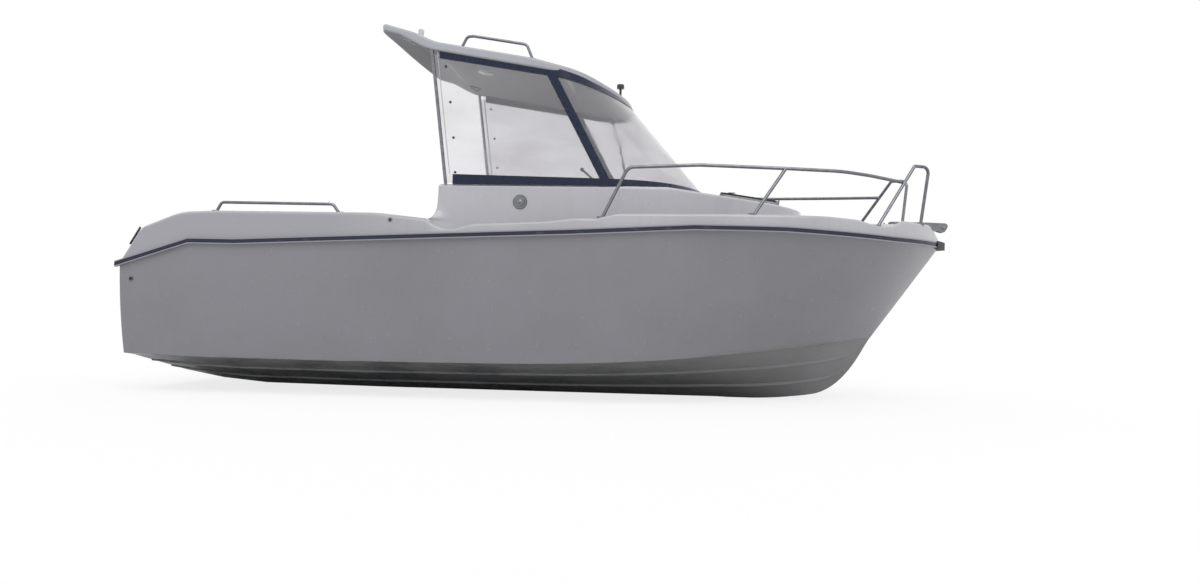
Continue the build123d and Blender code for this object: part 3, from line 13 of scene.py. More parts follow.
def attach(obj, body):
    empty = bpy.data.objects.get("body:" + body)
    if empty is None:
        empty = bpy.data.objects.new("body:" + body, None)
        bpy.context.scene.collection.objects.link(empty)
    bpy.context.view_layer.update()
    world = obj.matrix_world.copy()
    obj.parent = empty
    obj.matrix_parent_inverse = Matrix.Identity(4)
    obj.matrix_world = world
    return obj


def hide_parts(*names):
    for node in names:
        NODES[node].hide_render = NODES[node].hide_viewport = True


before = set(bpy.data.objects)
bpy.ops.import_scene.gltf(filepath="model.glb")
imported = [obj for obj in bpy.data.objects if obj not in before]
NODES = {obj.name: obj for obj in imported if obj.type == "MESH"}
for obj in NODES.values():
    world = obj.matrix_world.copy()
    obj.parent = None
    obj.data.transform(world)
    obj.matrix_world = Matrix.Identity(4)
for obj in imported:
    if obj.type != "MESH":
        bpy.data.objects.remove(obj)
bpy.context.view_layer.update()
SIDES = {"starboard": -1, "port": 1}
UP = Vector((0, 0, 1))
DOWN = -UP
PORT = Vector((0, 1, 0))
AHEAD = Vector((1, 0, 0))


# Node trees

def srgb(red, green, blue):
    """Linear colour from 0 to 255 display values."""
    def linear(value):
        value /= 255
        return value / 12.92 if value <= 0.04045 else ((value + 0.055) / 1.055) ** 2.4
    return (linear(red), linear(green), linear(blue), 1)


def shade_of(colour, share):
    """A colour scaled in brightness."""
    return tuple(min(1, channel * share) for channel in colour[:3]) + (1,)


# Sockets of the mix node that hold colours: both inputs and the output
MIX_SOCKETS = (6, 7, 2)


class Tree:
    """A material's node tree, with short calls for the nodes used here."""

    def __init__(self, name):
        self.material = bpy.data.materials.new(name)
        self.material.use_nodes = True
        self.nodes = self.material.node_tree.nodes
        self.links = self.material.node_tree.links
        self.shader = self.nodes["Principled BSDF"]
        self.place = self.nodes.new("ShaderNodeTexCoord").outputs["Object"]

    def set(self, **values):
        """Plain values on the shader's own sockets."""
        for key, value in values.items():
            self.shader.inputs[key.replace("_", " ").title().replace("Ior", "IOR")].default_value = value

    def plug(self, socket, source):
        if isinstance(source, (int, float, tuple)):
            socket.default_value = source
        else:
            self.links.new(source, socket)

    def stretched(self, stretch):
        mapping = self.nodes.new("ShaderNodeMapping")
        mapping.inputs["Scale"].default_value = stretch
        self.links.new(self.place, mapping.inputs["Vector"])
        return mapping.outputs[0]

    def noise(self, scale, detail=3, stretch=(1, 1, 1), rough=0.5):
        node = self.nodes.new("ShaderNodeTexNoise")
        node.inputs["Scale"].default_value = scale
        node.inputs["Detail"].default_value = detail
        node.inputs["Roughness"].default_value = rough
        self.links.new(self.stretched(stretch), node.inputs["Vector"])
        return node.outputs["Fac"]

    def cells(self, scale, stretch=(1, 1, 1)):
        """Distance to the nearest cell centre, for leather grain and grip patterns."""
        node = self.nodes.new("ShaderNodeTexVoronoi")
        node.inputs["Scale"].default_value = scale
        self.links.new(self.stretched(stretch), node.inputs["Vector"])
        return node.outputs["Distance"]

    def ramp(self, source, low, high, start=0, end=1):
        """Map source from low..high to start..end, held at both ends."""
        node = self.nodes.new("ShaderNodeMapRange")
        self.links.new(source, node.inputs["Value"])
        for key, value in (("From Min", low), ("From Max", high), ("To Min", start), ("To Max", end)):
            node.inputs[key].default_value = value
        return node.outputs["Result"]

    def axis(self, letter):
        node = self.nodes.new("ShaderNodeSeparateXYZ")
        self.links.new(self.place, node.inputs[0])
        return node.outputs[letter]

    def facing_up(self, low, high):
        """1 where the surface looks straight up, 0 where it leans more."""
        node = self.nodes.new("ShaderNodeSeparateXYZ")
        self.links.new(self.nodes.new("ShaderNodeNewGeometry").outputs["Normal"], node.inputs[0])
        return self.ramp(node.outputs["Z"], low, high)

    def math(self, operation, a, b=0.0):
        node = self.nodes.new("ShaderNodeMath")
        node.operation = operation
        self.plug(node.inputs[0], a)
        self.plug(node.inputs[1], b)
        return node.outputs[0]

    def times(self, a, b):
        return self.math("MULTIPLY", a, b)

    def plus(self, base, mask, amount):
        """Base, with an amount added where mask is 1."""
        return self.math("ADD", base, self.times(mask, amount))

    def height_line(self, points):
        """Height of a line through points of x and z, level beyond its ends."""
        along = self.axis("X")
        line = points[0][1]
        for (x0, z0), (x1, z1) in zip(points, points[1:]):
            line = self.math("ADD", self.ramp(along, x0, x1, 0, z1 - z0), line)
        return line

    def mix(self, share, a, b):
        node = self.nodes.new("ShaderNodeMix")
        node.data_type = "RGBA"
        first, second, mixed = MIX_SOCKETS
        self.plug(node.inputs["Factor"], share)
        self.plug(node.inputs[first], a)
        self.plug(node.inputs[second], b)
        return node.outputs[mixed]

    def bump(self, height, strength, distance, under=None):
        node = self.nodes.new("ShaderNodeBump")
        node.inputs["Strength"].default_value = strength
        node.inputs["Distance"].default_value = distance
        self.links.new(height, node.inputs["Height"])
        if under is not None:
            self.links.new(under, node.inputs["Normal"])
        return node.outputs[0]

    def finish(self, colour=None, roughness=None, normal=None):
        for key, value in (("Base Color", colour), ("Roughness", roughness), ("Normal", normal)):
            if value is not None:
                self.plug(self.shader.inputs[key], value)
        return self.material


# Materials

# Each pair is where a change of colour starts and where it is complete
FLANGE_Z = (0.60, 0.61)
# Painted shade on upright faces aft: where it starts and where it is full
AFT_SIDE_SHADE_X = (-0.55, -1.5)
# Painted shade under the roof's tail, growing aft
AFT_UNDERSIDE_SHADE_X = (-0.45, -1.0)
LINER_AFT_X = (-3.06, -3.04)
LINER_FORWARD_X = (0.75, 0.73)
LINER_HALF_WIDTH = (0.94, 0.935)
LINER_Z = (0.165, 0.175)
STAIN_X = (1.5, -0.2)
# The same for how far a face looks up: 1 straight up, 0 sideways, -1 straight down
LEVEL = (0.9, 0.97)
GRIP_LEVEL = (0.955, 0.985)
STANDING = (0.8, 0.35)
LOOKING_DOWN = (-0.6, -0.85)


def gelcoat(name, clean, worn, bottom=None, grip=False, lining=None, liner=None, rain=0.3, aft_side_shade=None,
            coat=0.4):
    """Glossy moulded gelcoat: faint mottling, rain streaks and a soft orange peel.

    bottom colours what lies under the chine, liner the cockpit's skin and the hull's flange, and lining what
    looks down. Upright faces aft take a darker given colour, painted shade, and the lining darkens aft under
    the roof's tail, painted shade too. grip roughens level faces.
    """
    tree = Tree(name)
    mottle = tree.ramp(tree.noise(1.4, 5, rough=0.6), 0.42, 0.7)
    streaks = tree.ramp(tree.noise(15, 3, stretch=(1, 1, 0.06)), 0.52, 0.78)
    dirt = tree.plus(tree.times(mottle, 0.5), streaks, rain)
    colour = tree.mix(dirt, clean, worn)
    rough = tree.ramp(tree.noise(11, 4), 0.3, 0.75, 0.17, 0.3)
    if bottom is not None:
        below = under_chine(tree)
        colour = tree.mix(below, colour, bottom(tree))
        rough = tree.plus(rough, below, 0.3)
    if liner is not None:
        colour = tree.mix(inside_liner(tree), colour, liner)
        flange = tree.times(tree.facing_up(*LEVEL), tree.ramp(tree.axis("Z"), *FLANGE_Z))
        colour = tree.mix(flange, colour, liner)
    # Upright faces aft are written darker: painted shade
    if aft_side_shade is not None:
        sides = tree.times(tree.facing_up(*STANDING), tree.ramp(tree.axis("X"), *AFT_SIDE_SHADE_X))
        colour = tree.mix(sides, colour, aft_side_shade)
    if lining is not None:
        underside = tree.facing_up(*LOOKING_DOWN)
        # The lining darkens aft under the roof's tail: painted shade
        aft_underside_shade = tree.ramp(tree.axis("X"), *AFT_UNDERSIDE_SHADE_X, 0, 0.85)
        film = tree.mix(aft_underside_shade, lining, shade_of(lining, 0.88))
        colour = tree.mix(underside, colour, film)
        rough = tree.plus(rough, underside, 0.6)
    normal = tree.bump(tree.noise(130, 1), 0.03, 0.0006)
    if grip:
        level = tree.facing_up(*GRIP_LEVEL)
        grain = tree.times(tree.cells(260), level)
        normal = tree.bump(grain, 0.35, 0.0012, normal)
        rough = tree.plus(rough, level, 0.3)
    normal = tree.bump(tree.noise(1.7, 1), 0.05, 0.004, normal)
    tree.set(coat_weight=coat, coat_roughness=0.05, ior=1.5)
    return tree.finish(colour, rough, normal)


def inside_liner(tree):
    """1 on the inner skin of the cockpit and wheelhouse, 0 on the outer skin."""
    along = tree.axis("X")
    ahead_of_transom = tree.ramp(along, *LINER_AFT_X)
    aft_of_bulkhead = tree.ramp(along, *LINER_FORWARD_X)
    inboard = tree.ramp(tree.math("ABSOLUTE", tree.axis("Y")), *LINER_HALF_WIDTH)
    over_sole = tree.ramp(tree.axis("Z"), *LINER_Z)
    lengthwise = tree.times(ahead_of_transom, aft_of_bulkhead)
    return tree.times(lengthwise, tree.times(inboard, over_sole))


# Columns: x, z
CHINE = ((0, -0.026), (1, 0.034), (2.1, 0.174))
CHINE_WAVE = 0.035


def under_chine(tree):
    """1 below the chine's line, which rises towards the bow, with an uneven edge."""
    wave = tree.times(tree.math("SUBTRACT", tree.noise(9, 5), 0.5), CHINE_WAVE)
    height = tree.math("SUBTRACT", tree.math("ADD", tree.axis("Z"), wave), tree.height_line(CHINE))
    return tree.ramp(height, 0.014, -0.012)


def stained_bottom(tree):
    """Algae and scuff stains under the chine, darkest amidships and aft, cleaner forward."""
    patches = tree.ramp(tree.noise(3.4, 7, stretch=(0.7, 1, 1.7), rough=0.66), 0.44, 0.6)
    runs = tree.ramp(tree.noise(26, 3, stretch=(1, 1, 0.15)), 0.45, 0.75, 0.55, 1)
    aft = tree.ramp(tree.axis("X"), *STAIN_X, 0.12, 1)
    stain = tree.times(tree.times(patches, runs), aft)
    film = tree.ramp(tree.noise(1.1, 3), 0.35, 0.7)
    return tree.mix(stain, tree.mix(film, srgb(136, 136, 139), srgb(124, 125, 122)), srgb(80, 83, 90))


# Columns: x, z
SHEER = ((-3.16, 0.637), (-2.56, 0.828), (-2.2, 0.827), (0.3, 0.930), (1.15, 0.974), (1.8, 0.971),
         (2.6, 0.940), (3.3, 0.936))
RAIL_INSERT_HALF = 0.0135
RAIL_INSERT_BLUR = 0.0005


def rub_rail(name, insert, base):
    """Moulded rail with a darker insert along its middle and scuffs where it rubs."""
    tree = Tree(name)
    away = tree.math("ABSOLUTE", tree.math("SUBTRACT", tree.axis("Z"), tree.height_line(SHEER)))
    inside = tree.ramp(away, RAIL_INSERT_HALF + RAIL_INSERT_BLUR, RAIL_INSERT_HALF - RAIL_INSERT_BLUR)
    scuffs = tree.ramp(tree.noise(40, 5, stretch=(0.2, 1, 1)), 0.6, 0.75, 0, 0.3)
    colour = tree.mix(scuffs, tree.mix(inside, base, insert), srgb(120, 120, 124))
    step = tree.bump(inside, 0.4, 0.002, tree.bump(tree.noise(340, 2), 0.3, 0.0003))
    return tree.finish(colour, tree.ramp(tree.noise(30, 3), 0.3, 0.7, 0.36, 0.52), step)


def plastic(name, colour, rough, grain=260.0, depth=0.0003, spread=0.1, gloss=0.5):
    """Moulded plastic or rubber with a fine grain and dust."""
    tree = Tree(name)
    shade = tree.ramp(tree.noise(23, 5), 0.3, 0.75)
    dusty = tuple(min(1, channel * (1 + spread) + 0.004) for channel in colour[:3]) + (1,)
    roughness = tree.ramp(tree.noise(30, 3), 0.3, 0.7, rough - 0.06, rough + 0.08)
    tree.set(specular_ior_level=gloss)
    return tree.finish(tree.mix(shade, colour, dusty), roughness, tree.bump(tree.noise(grain, 2), 0.3, depth))


def metal(name, colour, rough=0.16):
    """Polished or brushed metal with faint smears, tea stains and fine scratches."""
    tree = Tree(name)
    smear = tree.ramp(tree.noise(26, 4), 0.35, 0.7)
    stain = tree.ramp(tree.noise(60, 5), 0.66, 0.8, 0, 0.5)
    stained = tree.mix(stain, tree.mix(smear, colour, shade_of(colour, 0.72)), srgb(118, 104, 88))
    scratches = tree.noise(700, 2, stretch=(1, 1, 0.05))
    tree.set(metallic=1.0)
    roughness = tree.ramp(tree.noise(60, 3), 0.3, 0.75, rough, rough + 0.14)
    return tree.finish(stained, roughness, tree.bump(scratches, 0.05, 0.0002))


def window(name, tint, reflection_and_spray_tint):
    """Clear pane with cloudy patches, a painted reflection of a cloudy sky, and small dried spray drops."""
    tree = Tree(name)
    # Cloudy patches: painted reflection; the small spots are dried spray
    film = tree.ramp(tree.noise(2.6, 5, stretch=(0.6, 1, 1.5)), 0.4, 0.7)
    drops = tree.ramp(tree.noise(90, 2), 0.62, 0.8, 0, 0.5)
    tree.set(transmission_weight=0.9, ior=1.45)
    reflection_and_spray = tree.math("MAXIMUM", film, drops)
    return tree.finish(tree.mix(reflection_and_spray, tint, reflection_and_spray_tint), tree.ramp(reflection_and_spray, 0, 1, 0.015, 0.12))


def vinyl(name, colour):
    """Marine upholstery vinyl: a fine leather grain, soft creases and a little grime."""
    tree = Tree(name)
    grime = tree.ramp(tree.noise(7, 4), 0.4, 0.75, 0, 0.6)
    grain = tree.bump(tree.cells(520), 0.35, 0.0005)
    creases = tree.bump(tree.noise(38, 4, stretch=(1, 0.5, 1)), 0.25, 0.0015, grain)
    tree.set(sheen_weight=0.1)
    roughness = tree.ramp(tree.noise(25, 3), 0.3, 0.7, 0.38, 0.52)
    return tree.finish(tree.mix(grime, colour, shade_of(colour, 0.82)), roughness, creases)


def grip_floor(name, colour):
    """Sole with a raised diamond grip pattern, darker between the diamonds, and patchy grime."""
    tree = Tree(name)
    diamonds = tree.ramp(tree.cells(42, stretch=(1, 1.6, 1)), 0.2, 0.55, 1, 0)
    grime = tree.ramp(tree.noise(3.5, 5), 0.4, 0.7, 0, 0.5)
    shade = tree.math("ADD", grime, tree.ramp(diamonds, 0, 1, 0.35, 0))
    grain = tree.bump(tree.noise(300, 2), 0.3, 0.0004)
    return tree.finish(
        tree.mix(shade, colour, shade_of(colour, 0.6)),
        tree.ramp(diamonds, 0, 1, 0.6, 0.42),
        tree.bump(diamonds, 0.5, 0.0012, grain),
    )


def lamp(name, base_top):
    """Translucent lens above a height, black base below it."""
    tree = Tree(name)
    lens = tree.mix(tree.ramp(tree.noise(40, 3), 0.3, 0.7), srgb(222, 224, 228), srgb(206, 208, 212))
    above = tree.ramp(tree.axis("Z"), base_top - 0.001, base_top + 0.001)
    ribs = tree.math("SINE", tree.times(tree.axis("Z"), 1500))
    tree.set(coat_weight=0.5)
    return tree.finish(
        tree.mix(above, srgb(30, 31, 34), lens),
        tree.ramp(above, 0, 1, 0.4, 0.14),
        tree.bump(ribs, 0.15, 0.0004),
    )


def bead_colour(name, colour):
    """Glossy soft edging, such as piping and seal strips."""
    tree = Tree(name)
    shade = tree.ramp(tree.noise(60, 3), 0.3, 0.7)
    return tree.finish(
        tree.mix(shade, colour, shade_of(colour, 0.85)),
        tree.ramp(tree.noise(90, 2), 0.3, 0.7, 0.35, 0.5),
        tree.bump(tree.noise(500, 2), 0.2, 0.0003),
    )


WHITE = gelcoat("gelcoat_white", srgb(195, 194, 201), srgb(182, 180, 183))
# The roof's lining darkens aft: painted shade under its tail
ROOF = gelcoat("gelcoat_roof", srgb(180, 182, 189), srgb(168, 169, 174), lining=srgb(168, 168, 172),
               coat=0.0)
# The deck's upright faces aft take a darker colour: painted shade
DECK = gelcoat("gelcoat_deck", srgb(188, 188, 194), srgb(174, 172, 173), grip=True,
               aft_side_shade=srgb(163, 163, 170))
# The hull is white gelcoat like its liner: its clean and worn colours are written grey, painted shade on
# topsides that face away from the light
SHADED_HULL = gelcoat("gelcoat_hull_shaded_topsides", srgb(139, 138, 145), srgb(129, 127, 131), bottom=stained_bottom,
               liner=srgb(186, 186, 192), rain=0.12)
NAVY = plastic("navy_trim", srgb(27, 36, 60), 0.28, spread=0.04, gloss=0.28)
RAIL = rub_rail("navy_rail", srgb(24, 28, 50), srgb(150, 150, 157))
BLACK = plastic("black_plastic", srgb(26, 27, 29), 0.42)
RUBBER = plastic("black_rubber", srgb(30, 30, 31), 0.62, 180, 0.0006)
CREAM = plastic("white_plastic", srgb(196, 196, 198), 0.38)
BOARD = plastic("board_plastic", srgb(184, 184, 186), 0.5, 150, 0.0006)
LENS = plastic("lens", srgb(214, 216, 220), 0.18)
MAST_LIGHT = lamp("mast_light", base_top=2.6)
STEEL = metal("stainless", srgb(134, 135, 141))
DARK_STEEL = metal("stainless_dull", srgb(74, 75, 80), 0.26)
ALLOY = metal("anodised_alloy", srgb(158, 160, 164), 0.32)
GLASS = window("clear_glass", (0.86, 0.86, 0.88, 1), (0.78, 0.76, 0.78, 1))
SMOKED = plastic("smoked_acrylic", srgb(34, 37, 42), 0.12, 60, 0.0001)
SOLE = grip_floor("sole_grip", srgb(176, 177, 180))
VINYL = vinyl("cushion_vinyl", srgb(196, 195, 192))
PIPING = bead_colour("navy_piping", srgb(44, 52, 78))
SEALANT = bead_colour("pale_seal", srgb(196, 197, 202))
DIAL = plastic("dial_face", srgb(16, 17, 19), 0.35, 400, 0.0001)
MARKS = plastic("dial_marks", srgb(214, 214, 208), 0.5, 400, 0.0001)

# Columns: material, nodes it is given to
FINISHES = (
    (DECK, ("deck", "toe_rails", "coamings", "stern_moulding", "stern_lid_port", "stern_lid_starboard",
            "anchor_lid")),
    (WHITE, ("deckhouse", "bulkhead", "console", "berth")),
    (ROOF, ("roof",)),
    (SHADED_HULL, ("hull",)),
    (SOLE, ("sole",)),
    (NAVY, ("lower_band", "upper_band", "pillars")),
    (RAIL, ("rub_rail",)),
    (RUBBER, ("bow_cap", "roller_wheel")),
    (BLACK, ("steering_wheel", "throttle", "wiper")),
    (CREAM, ("seats",)),
    (BOARD, ("motor_board",)),
    (LENS, ("dome_light",)),
    (MAST_LIGHT, ("roof_lights",)),
    (STEEL, ("aft_posts", "pulpit_port", "pulpit_starboard", "stern_rails", "roof_rails", "bow_cleat",
             "bow_roller", "filler_cap", "skin_fittings", "hinges")),
    (DARK_STEEL, ("stern_cleats",)),
    (ALLOY, ("hatch_frame",)),
    (GLASS, ("windscreen", "side_windows")),
    (SMOKED, ("hatch_lid", "cabin_door")),
    (VINYL, ("pads", "berth_cushion")),
)
for finish, names in FINISHES:
    for name in names:
        NODES[name].data.materials.clear()
        NODES[name].data.materials.append(finish)

# Columns: node, width of its softened edges
SOFT_EDGES = (("console", 0.006), ("seats", 0.004), ("bulkhead", 0.004), ("berth", 0.005),
              ("motor_board", 0.004), ("stern_moulding", 0.005), ("throttle", 0.003), ("hatch_frame", 0.003),
              ("hinges", 0.0008), ("cabin_door", 0.0012), ("hatch_lid", 0.0015))
SOFT_EDGE_ANGLE = radians(40)
SHARP_ANGLE = radians(38)
for name, width in SOFT_EDGES:
    bevel = NODES[name].modifiers.new("soft_edges", "BEVEL")
    bevel.width = width
    bevel.segments = 2
    bevel.limit_method = "ANGLE"
    bevel.angle_limit = SOFT_EDGE_ANGLE


# Shapes

def added(name, data):
    """A new object in the scene that shows data."""
    piece = bpy.data.objects.new(name, data)
    bpy.context.scene.collection.objects.link(piece)
    return piece


def new_piece(name, build, finish, body="boat"):
    """A piece from built faces, shaded smooth up to sharp corners, that rides on a body."""
    bmesh.ops.recalc_face_normals(build, faces=build.faces)
    mesh = bpy.data.meshes.new(name)
    build.to_mesh(mesh)
    build.free()
    mesh.shade_smooth()
    mesh.set_sharp_from_angle(angle=SHARP_ANGLE)
    mesh.materials.append(finish)
    piece = added(name, mesh)
    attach(piece, body)
    return piece


def circle(radius, count, first=0.0):
    """Points round a circle about the origin, from the angle first on."""
    angles = [first + 2 * pi * step / count for step in range(count)]
    return [(radius * cos(angle), radius * sin(angle)) for angle in angles]


def between(start, end, steps):
    """Points from start to end in equal steps, both included."""
    return [Vector([a + (b - a) * step / steps for a, b in zip(start, end)]) for step in range(steps + 1)]


def turned(build, place, axis, profile, sides=24):
    """Turned shape on place: the profile's columns are radius and height along the axis."""
    place = Vector(place)
    turn = UP.rotation_difference(Vector(axis)).to_matrix()
    rings = []
    for radius, height in profile:
        round_points = circle(radius, sides) if radius else [(0, 0)]
        rings.append([build.verts.new(place + turn @ Vector((x, y, height))) for x, y in round_points])
    for low, high in zip(rings, rings[1:]):
        for step in range(sides):
            lower = [low[number % len(low)] for number in (step, step + 1)]
            upper = [high[number % len(high)] for number in (step + 1, step)]
            build.faces.new(list(dict.fromkeys(lower + upper)))


def skinned(build, rings, loop=False):
    """Faces between rings of as many corners each, closed into a loop or capped at both ends."""
    if loop:
        rings = rings + rings[:1]
    else:
        build.faces.new(rings[0])
        build.faces.new(rings[-1])
    for low, high in zip(rings, rings[1:]):
        for step in range(len(low)):
            ahead = (step + 1) % len(low)
            build.faces.new((low[step], low[ahead], high[ahead], high[step]))


def swept(build, points, outward, section, loop=False):
    """Closed section swept along points: its columns lie across the run and along outward."""
    points = [Vector(point) for point in points]
    count = len(points)
    rings = []
    for step, point in enumerate(points):
        before = points[step - 1] if loop or step > 0 else point
        after = points[(step + 1) % count] if loop or step + 1 < count else point
        ahead = (after - before).normalized()
        out = Vector(outward[step]) if len(outward) == count else Vector(outward[0])
        across = ahead.cross(out).normalized()
        above = across.cross(ahead)
        rings.append([build.verts.new(point + across * a + above * b) for a, b in section])
    skinned(build, rings, loop)


def lofted(build, sections):
    """Skin through closed sections with as many points each, capped at both ends."""
    skinned(build, [[build.verts.new(point) for point in section] for section in sections])


def bar_section(half, half_top, low, high):
    """Four-sided section: half its width at the foot and at the top, and the heights of both."""
    return [(-half, low), (half, low), (half_top, high), (-half_top, high)]


def strip_section(half, height, edge):
    """Flat strip with softened top edges, standing on the surface."""
    return [(-half, 0), (half, 0), (half, height - edge), (half - edge, height), (edge - half, height),
            (-half, height - edge)]


def skin_of(piece, corners):
    """Search tree over a piece's faces, with its corners at the given places."""
    return BVHTree.FromPolygons(corners, [tuple(face.vertices) for face in piece.data.polygons])


SKINS = {}


def meet(node, start, heading):
    """Place and outward normal where a ray from start first meets a CAD node."""
    if node not in SKINS:
        source = NODES[node]
        SKINS[node] = skin_of(source, [source.matrix_world @ corner.co for corner in source.data.vertices])
    place, normal = SKINS[node].ray_cast(Vector(start), Vector(heading).normalized())[:2]
    if place is not None and normal.dot(Vector(heading)) > 0:
        normal = -normal
    return place, normal


# Turned shapes' columns: radius, height
SCREW = ((0.0042, 0), (0.0042, 0.0006), (0.003, 0.0013), (0.0012, 0.0015), (0.001, 0.0008), (0, 0.0008))
SCREW_SIDES = 12


def screw(build, node, start, heading, size=1.0, level=0.9):
    """Screw head where a ray from start meets a face that looks back at it."""
    place, normal = meet(node, start, heading)
    if place is None or -normal.dot(Vector(heading).normalized()) < level:
        return
    turned(build, place, normal, [(radius * size, height * size) for radius, height in SCREW], SCREW_SIDES)


# Window studs, seal strips and band screws

# Columns: x, z
WINDOW_STUDS = ((-0.729, 2.178), (-0.690, 1.911), (-0.660, 1.645), (-0.641, 1.386))
SEAL_LINE = ((-0.683, 1.374), (-0.796, 2.283))
SEAL_STEPS = 8
GLASS_FACE = 0.880
GLASS_THICKNESS = 0.006
STUD = ((0.0095, 0), (0.0095, 0.0012), (0.008, 0.002), (0.0065, 0.0018), (0.0055, 0.0034), (0.003, 0.0042),
        (0, 0.0044))
studs = bmesh.new()
seals = bmesh.new()
for sign in SIDES.values():
    for x, z in WINDOW_STUDS:
        turned(studs, (x, sign * GLASS_FACE, z), (0, sign, 0), STUD)
        turned(studs, (x, sign * (GLASS_FACE - GLASS_THICKNESS), z), (0, -sign, 0), STUD)
    low, high = [(x, sign * GLASS_FACE, z) for x, z in SEAL_LINE]
    swept(seals, between(low, high, SEAL_STEPS), [(0, sign, 0)], strip_section(0.003, 0.0018, 0.0006))
new_piece("window_studs", studs, DARK_STEEL)
new_piece("window_seals", seals, SEALANT)

BAND_SCREW_ANGLES = (34, 56, 78, 102, 124, 146)
BAND_CENTRE = Vector((0.44, 0, 1.329))
BAND_REACH = 1.5
band_screws = bmesh.new()
for degrees in BAND_SCREW_ANGLES:
    heading = Vector((-sin(radians(degrees)), cos(radians(degrees)), 0))
    screw(band_screws, "lower_band", BAND_CENTRE - heading * BAND_REACH, heading, size=1.5, level=0.8)
new_piece("band_screws", band_screws, BLACK)

# Beads and lamp under the roof's tail

UNDER_ROOF = 1.9
# Columns: x, y
UNDER_LINES = (
    ((-1.155, -0.64), (-1.06, -0.45), (-0.987, -0.25), (-0.955, -0.1), (-0.943, 0.07), (-0.93, 0.3),
     (-0.922, 0.58)),
    ((-1.148, -0.57), (-1.13, -0.42), (-1.115, -0.26)),
)
BEAD_STEPS = 4
BEAD_SECTION = bar_section(0.006, 0.004, -0.0005, 0.005)
linings = bmesh.new()
for line in UNDER_LINES:
    run = []
    normals = []
    for start, end in zip(line, line[1:]):
        for x, y in between(start, end, BEAD_STEPS)[:-1]:
            place, normal = meet("roof", (x, y, UNDER_ROOF), UP)
            run.append(place)
            normals.append(normal)
    swept(linings, run, normals, BEAD_SECTION)
new_piece("roof_lining_beads", linings, WHITE)

TAIL_LAMP_X = -0.835
TAIL_LAMP_Y = 0.67
TAIL_LAMP = ((0.052, -0.001), (0.052, 0.005), (0.047, 0.009), (0.042, 0.006), (0.03, 0.004), (0.012, 0.0055),
             (0, 0.006))
tail_lamp = bmesh.new()
place, normal = meet("roof", (TAIL_LAMP_X, TAIL_LAMP_Y, UNDER_ROOF), UP)
turned(tail_lamp, place, normal, TAIL_LAMP, 36)
new_piece("roof_lamp", tail_lamp, BLACK)

# Bowed aft edge of the roof's tail

OVER_ROOF = 3.2
ROOF_AFT = -1.213
TAIL_BOW = 0.147
TAIL_BOW_POWER = 2.4
TAIL_HALF = 0.88
TAIL_LAP_X = -1.12
TAIL_SLOPE_X = -1.185
TAIL_ROUND = 0.018
TAIL_LAP = 0.0012
TAIL_SINK = 0.002
TAIL_CORNER_SHARE = 0.05
TAIL_COLUMNS = 4
TAIL_STATIONS = 44


def tail_section(y, share):
    """Section of the tail's edge at y: it reaches aft by a share of the bow, and sinks into the corners."""
    sides = []
    for start, heading in ((OVER_ROOF, DOWN), (UNDER_ROOF, UP)):
        near, far = (meet("roof", (x, y, start), heading)[0] for x in (TAIL_LAP_X, TAIL_SLOPE_X))
        sides.append((near.z, (far.z - near.z) / (TAIL_SLOPE_X - TAIL_LAP_X)))
    (top, rise), (under, fall) = sides
    bowed = share > TAIL_CORNER_SHARE
    lap = TAIL_LAP if bowed else -TAIL_LAP
    end = ROOF_AFT - TAIL_BOW * share + (0 if bowed else TAIL_SINK)
    length = end + TAIL_ROUND - TAIL_LAP_X
    columns = [TAIL_LAP_X + length * step / TAIL_COLUMNS for step in range(TAIL_COLUMNS + 1)]
    upper = [Vector((x, y, top + rise * (x - TAIL_LAP_X) + lap)) for x in columns]
    lower = [Vector((x, y, under + fall * (x - TAIL_LAP_X) - lap)) for x in columns]
    edge = []
    for degrees in (30, 60, 90):
        reach = Vector((-sin(radians(degrees)), 0, cos(radians(degrees)) - 1)) * TAIL_ROUND
        edge.append((upper[-1] + reach, lower[-1] + Vector((reach.x, 0, -reach.z))))
    return upper + [high for high, low in edge] + [low for high, low in reversed(edge)] + lower[::-1]


tail = bmesh.new()
sections = []
for step in range(TAIL_STATIONS + 1):
    y = -TAIL_HALF * cos(pi * step / TAIL_STATIONS)
    sections.append(tail_section(y, 1 - (abs(y) / TAIL_HALF) ** TAIL_BOW_POWER))
lofted(tail, sections)
new_piece("roof_tail_edge", tail, ROOF)

# Webs that close the deck beside the trunk's rounded front corners

# Columns: half width, inner x, outer x
CORNER_WEB = ((0.215, 1.935, 1.992), (0.24, 1.925, 2.000), (0.27, 1.91, 2.004), (0.31, 1.885, 2.006),
              (0.35, 1.865, 2.004), (0.38, 1.855, 1.985), (0.41, 1.85, 1.945), (0.43, 1.85, 1.915))
WEB_LEVEL_X = 2.05
OVER_DECK = 2
WEB_TOP = 0.0006
WEB_EDGE_WIDTH = 0.002
WEB_EDGE = -0.001
WEB_FOOT = -0.018
webs = bmesh.new()
for sign in SIDES.values():
    sections = []
    for y, inner, outer in CORNER_WEB:
        level = meet("deck", (WEB_LEVEL_X, sign * y, OVER_DECK), DOWN)[0].z
        outline = ((inner, WEB_TOP), (outer - WEB_EDGE_WIDTH, WEB_TOP), (outer, WEB_EDGE), (outer, WEB_FOOT),
                   (inner, WEB_FOOT))
        sections.append([(x, sign * y, level + height) for x, height in outline])
    lofted(webs, sections)
new_piece("deck_corner_webs", webs, DECK)

# Ramp where the coaming runs down to the side deck, and the flare from the house's aft edge into the coaming

# Columns: half width, coaming height, side deck height
RAMP_SECTION = (
    (0.881, 1.0165, 0.9415), (0.95, 1.0165, 0.9415), (1.05, 1.0165, 0.9415), (1.12, 1.0165, 0.9415),
    (1.15, 1.0163, 0.9415), (1.16, 1.0155, 0.9415), (1.17, 1.0135, 0.941), (1.177, 1.0105, 0.940),
    (1.1832, 1.005, 0.937), (1.1862, 0.995, 0.935), (1.189, 0.95, 0.933), (1.1902, 0.935, 0.931),
)
RAMP_AFT = -0.787
RAMP_LENGTH = 0.187
RAMP_FLOOR = 0.924
RAMP_STEPS = 16
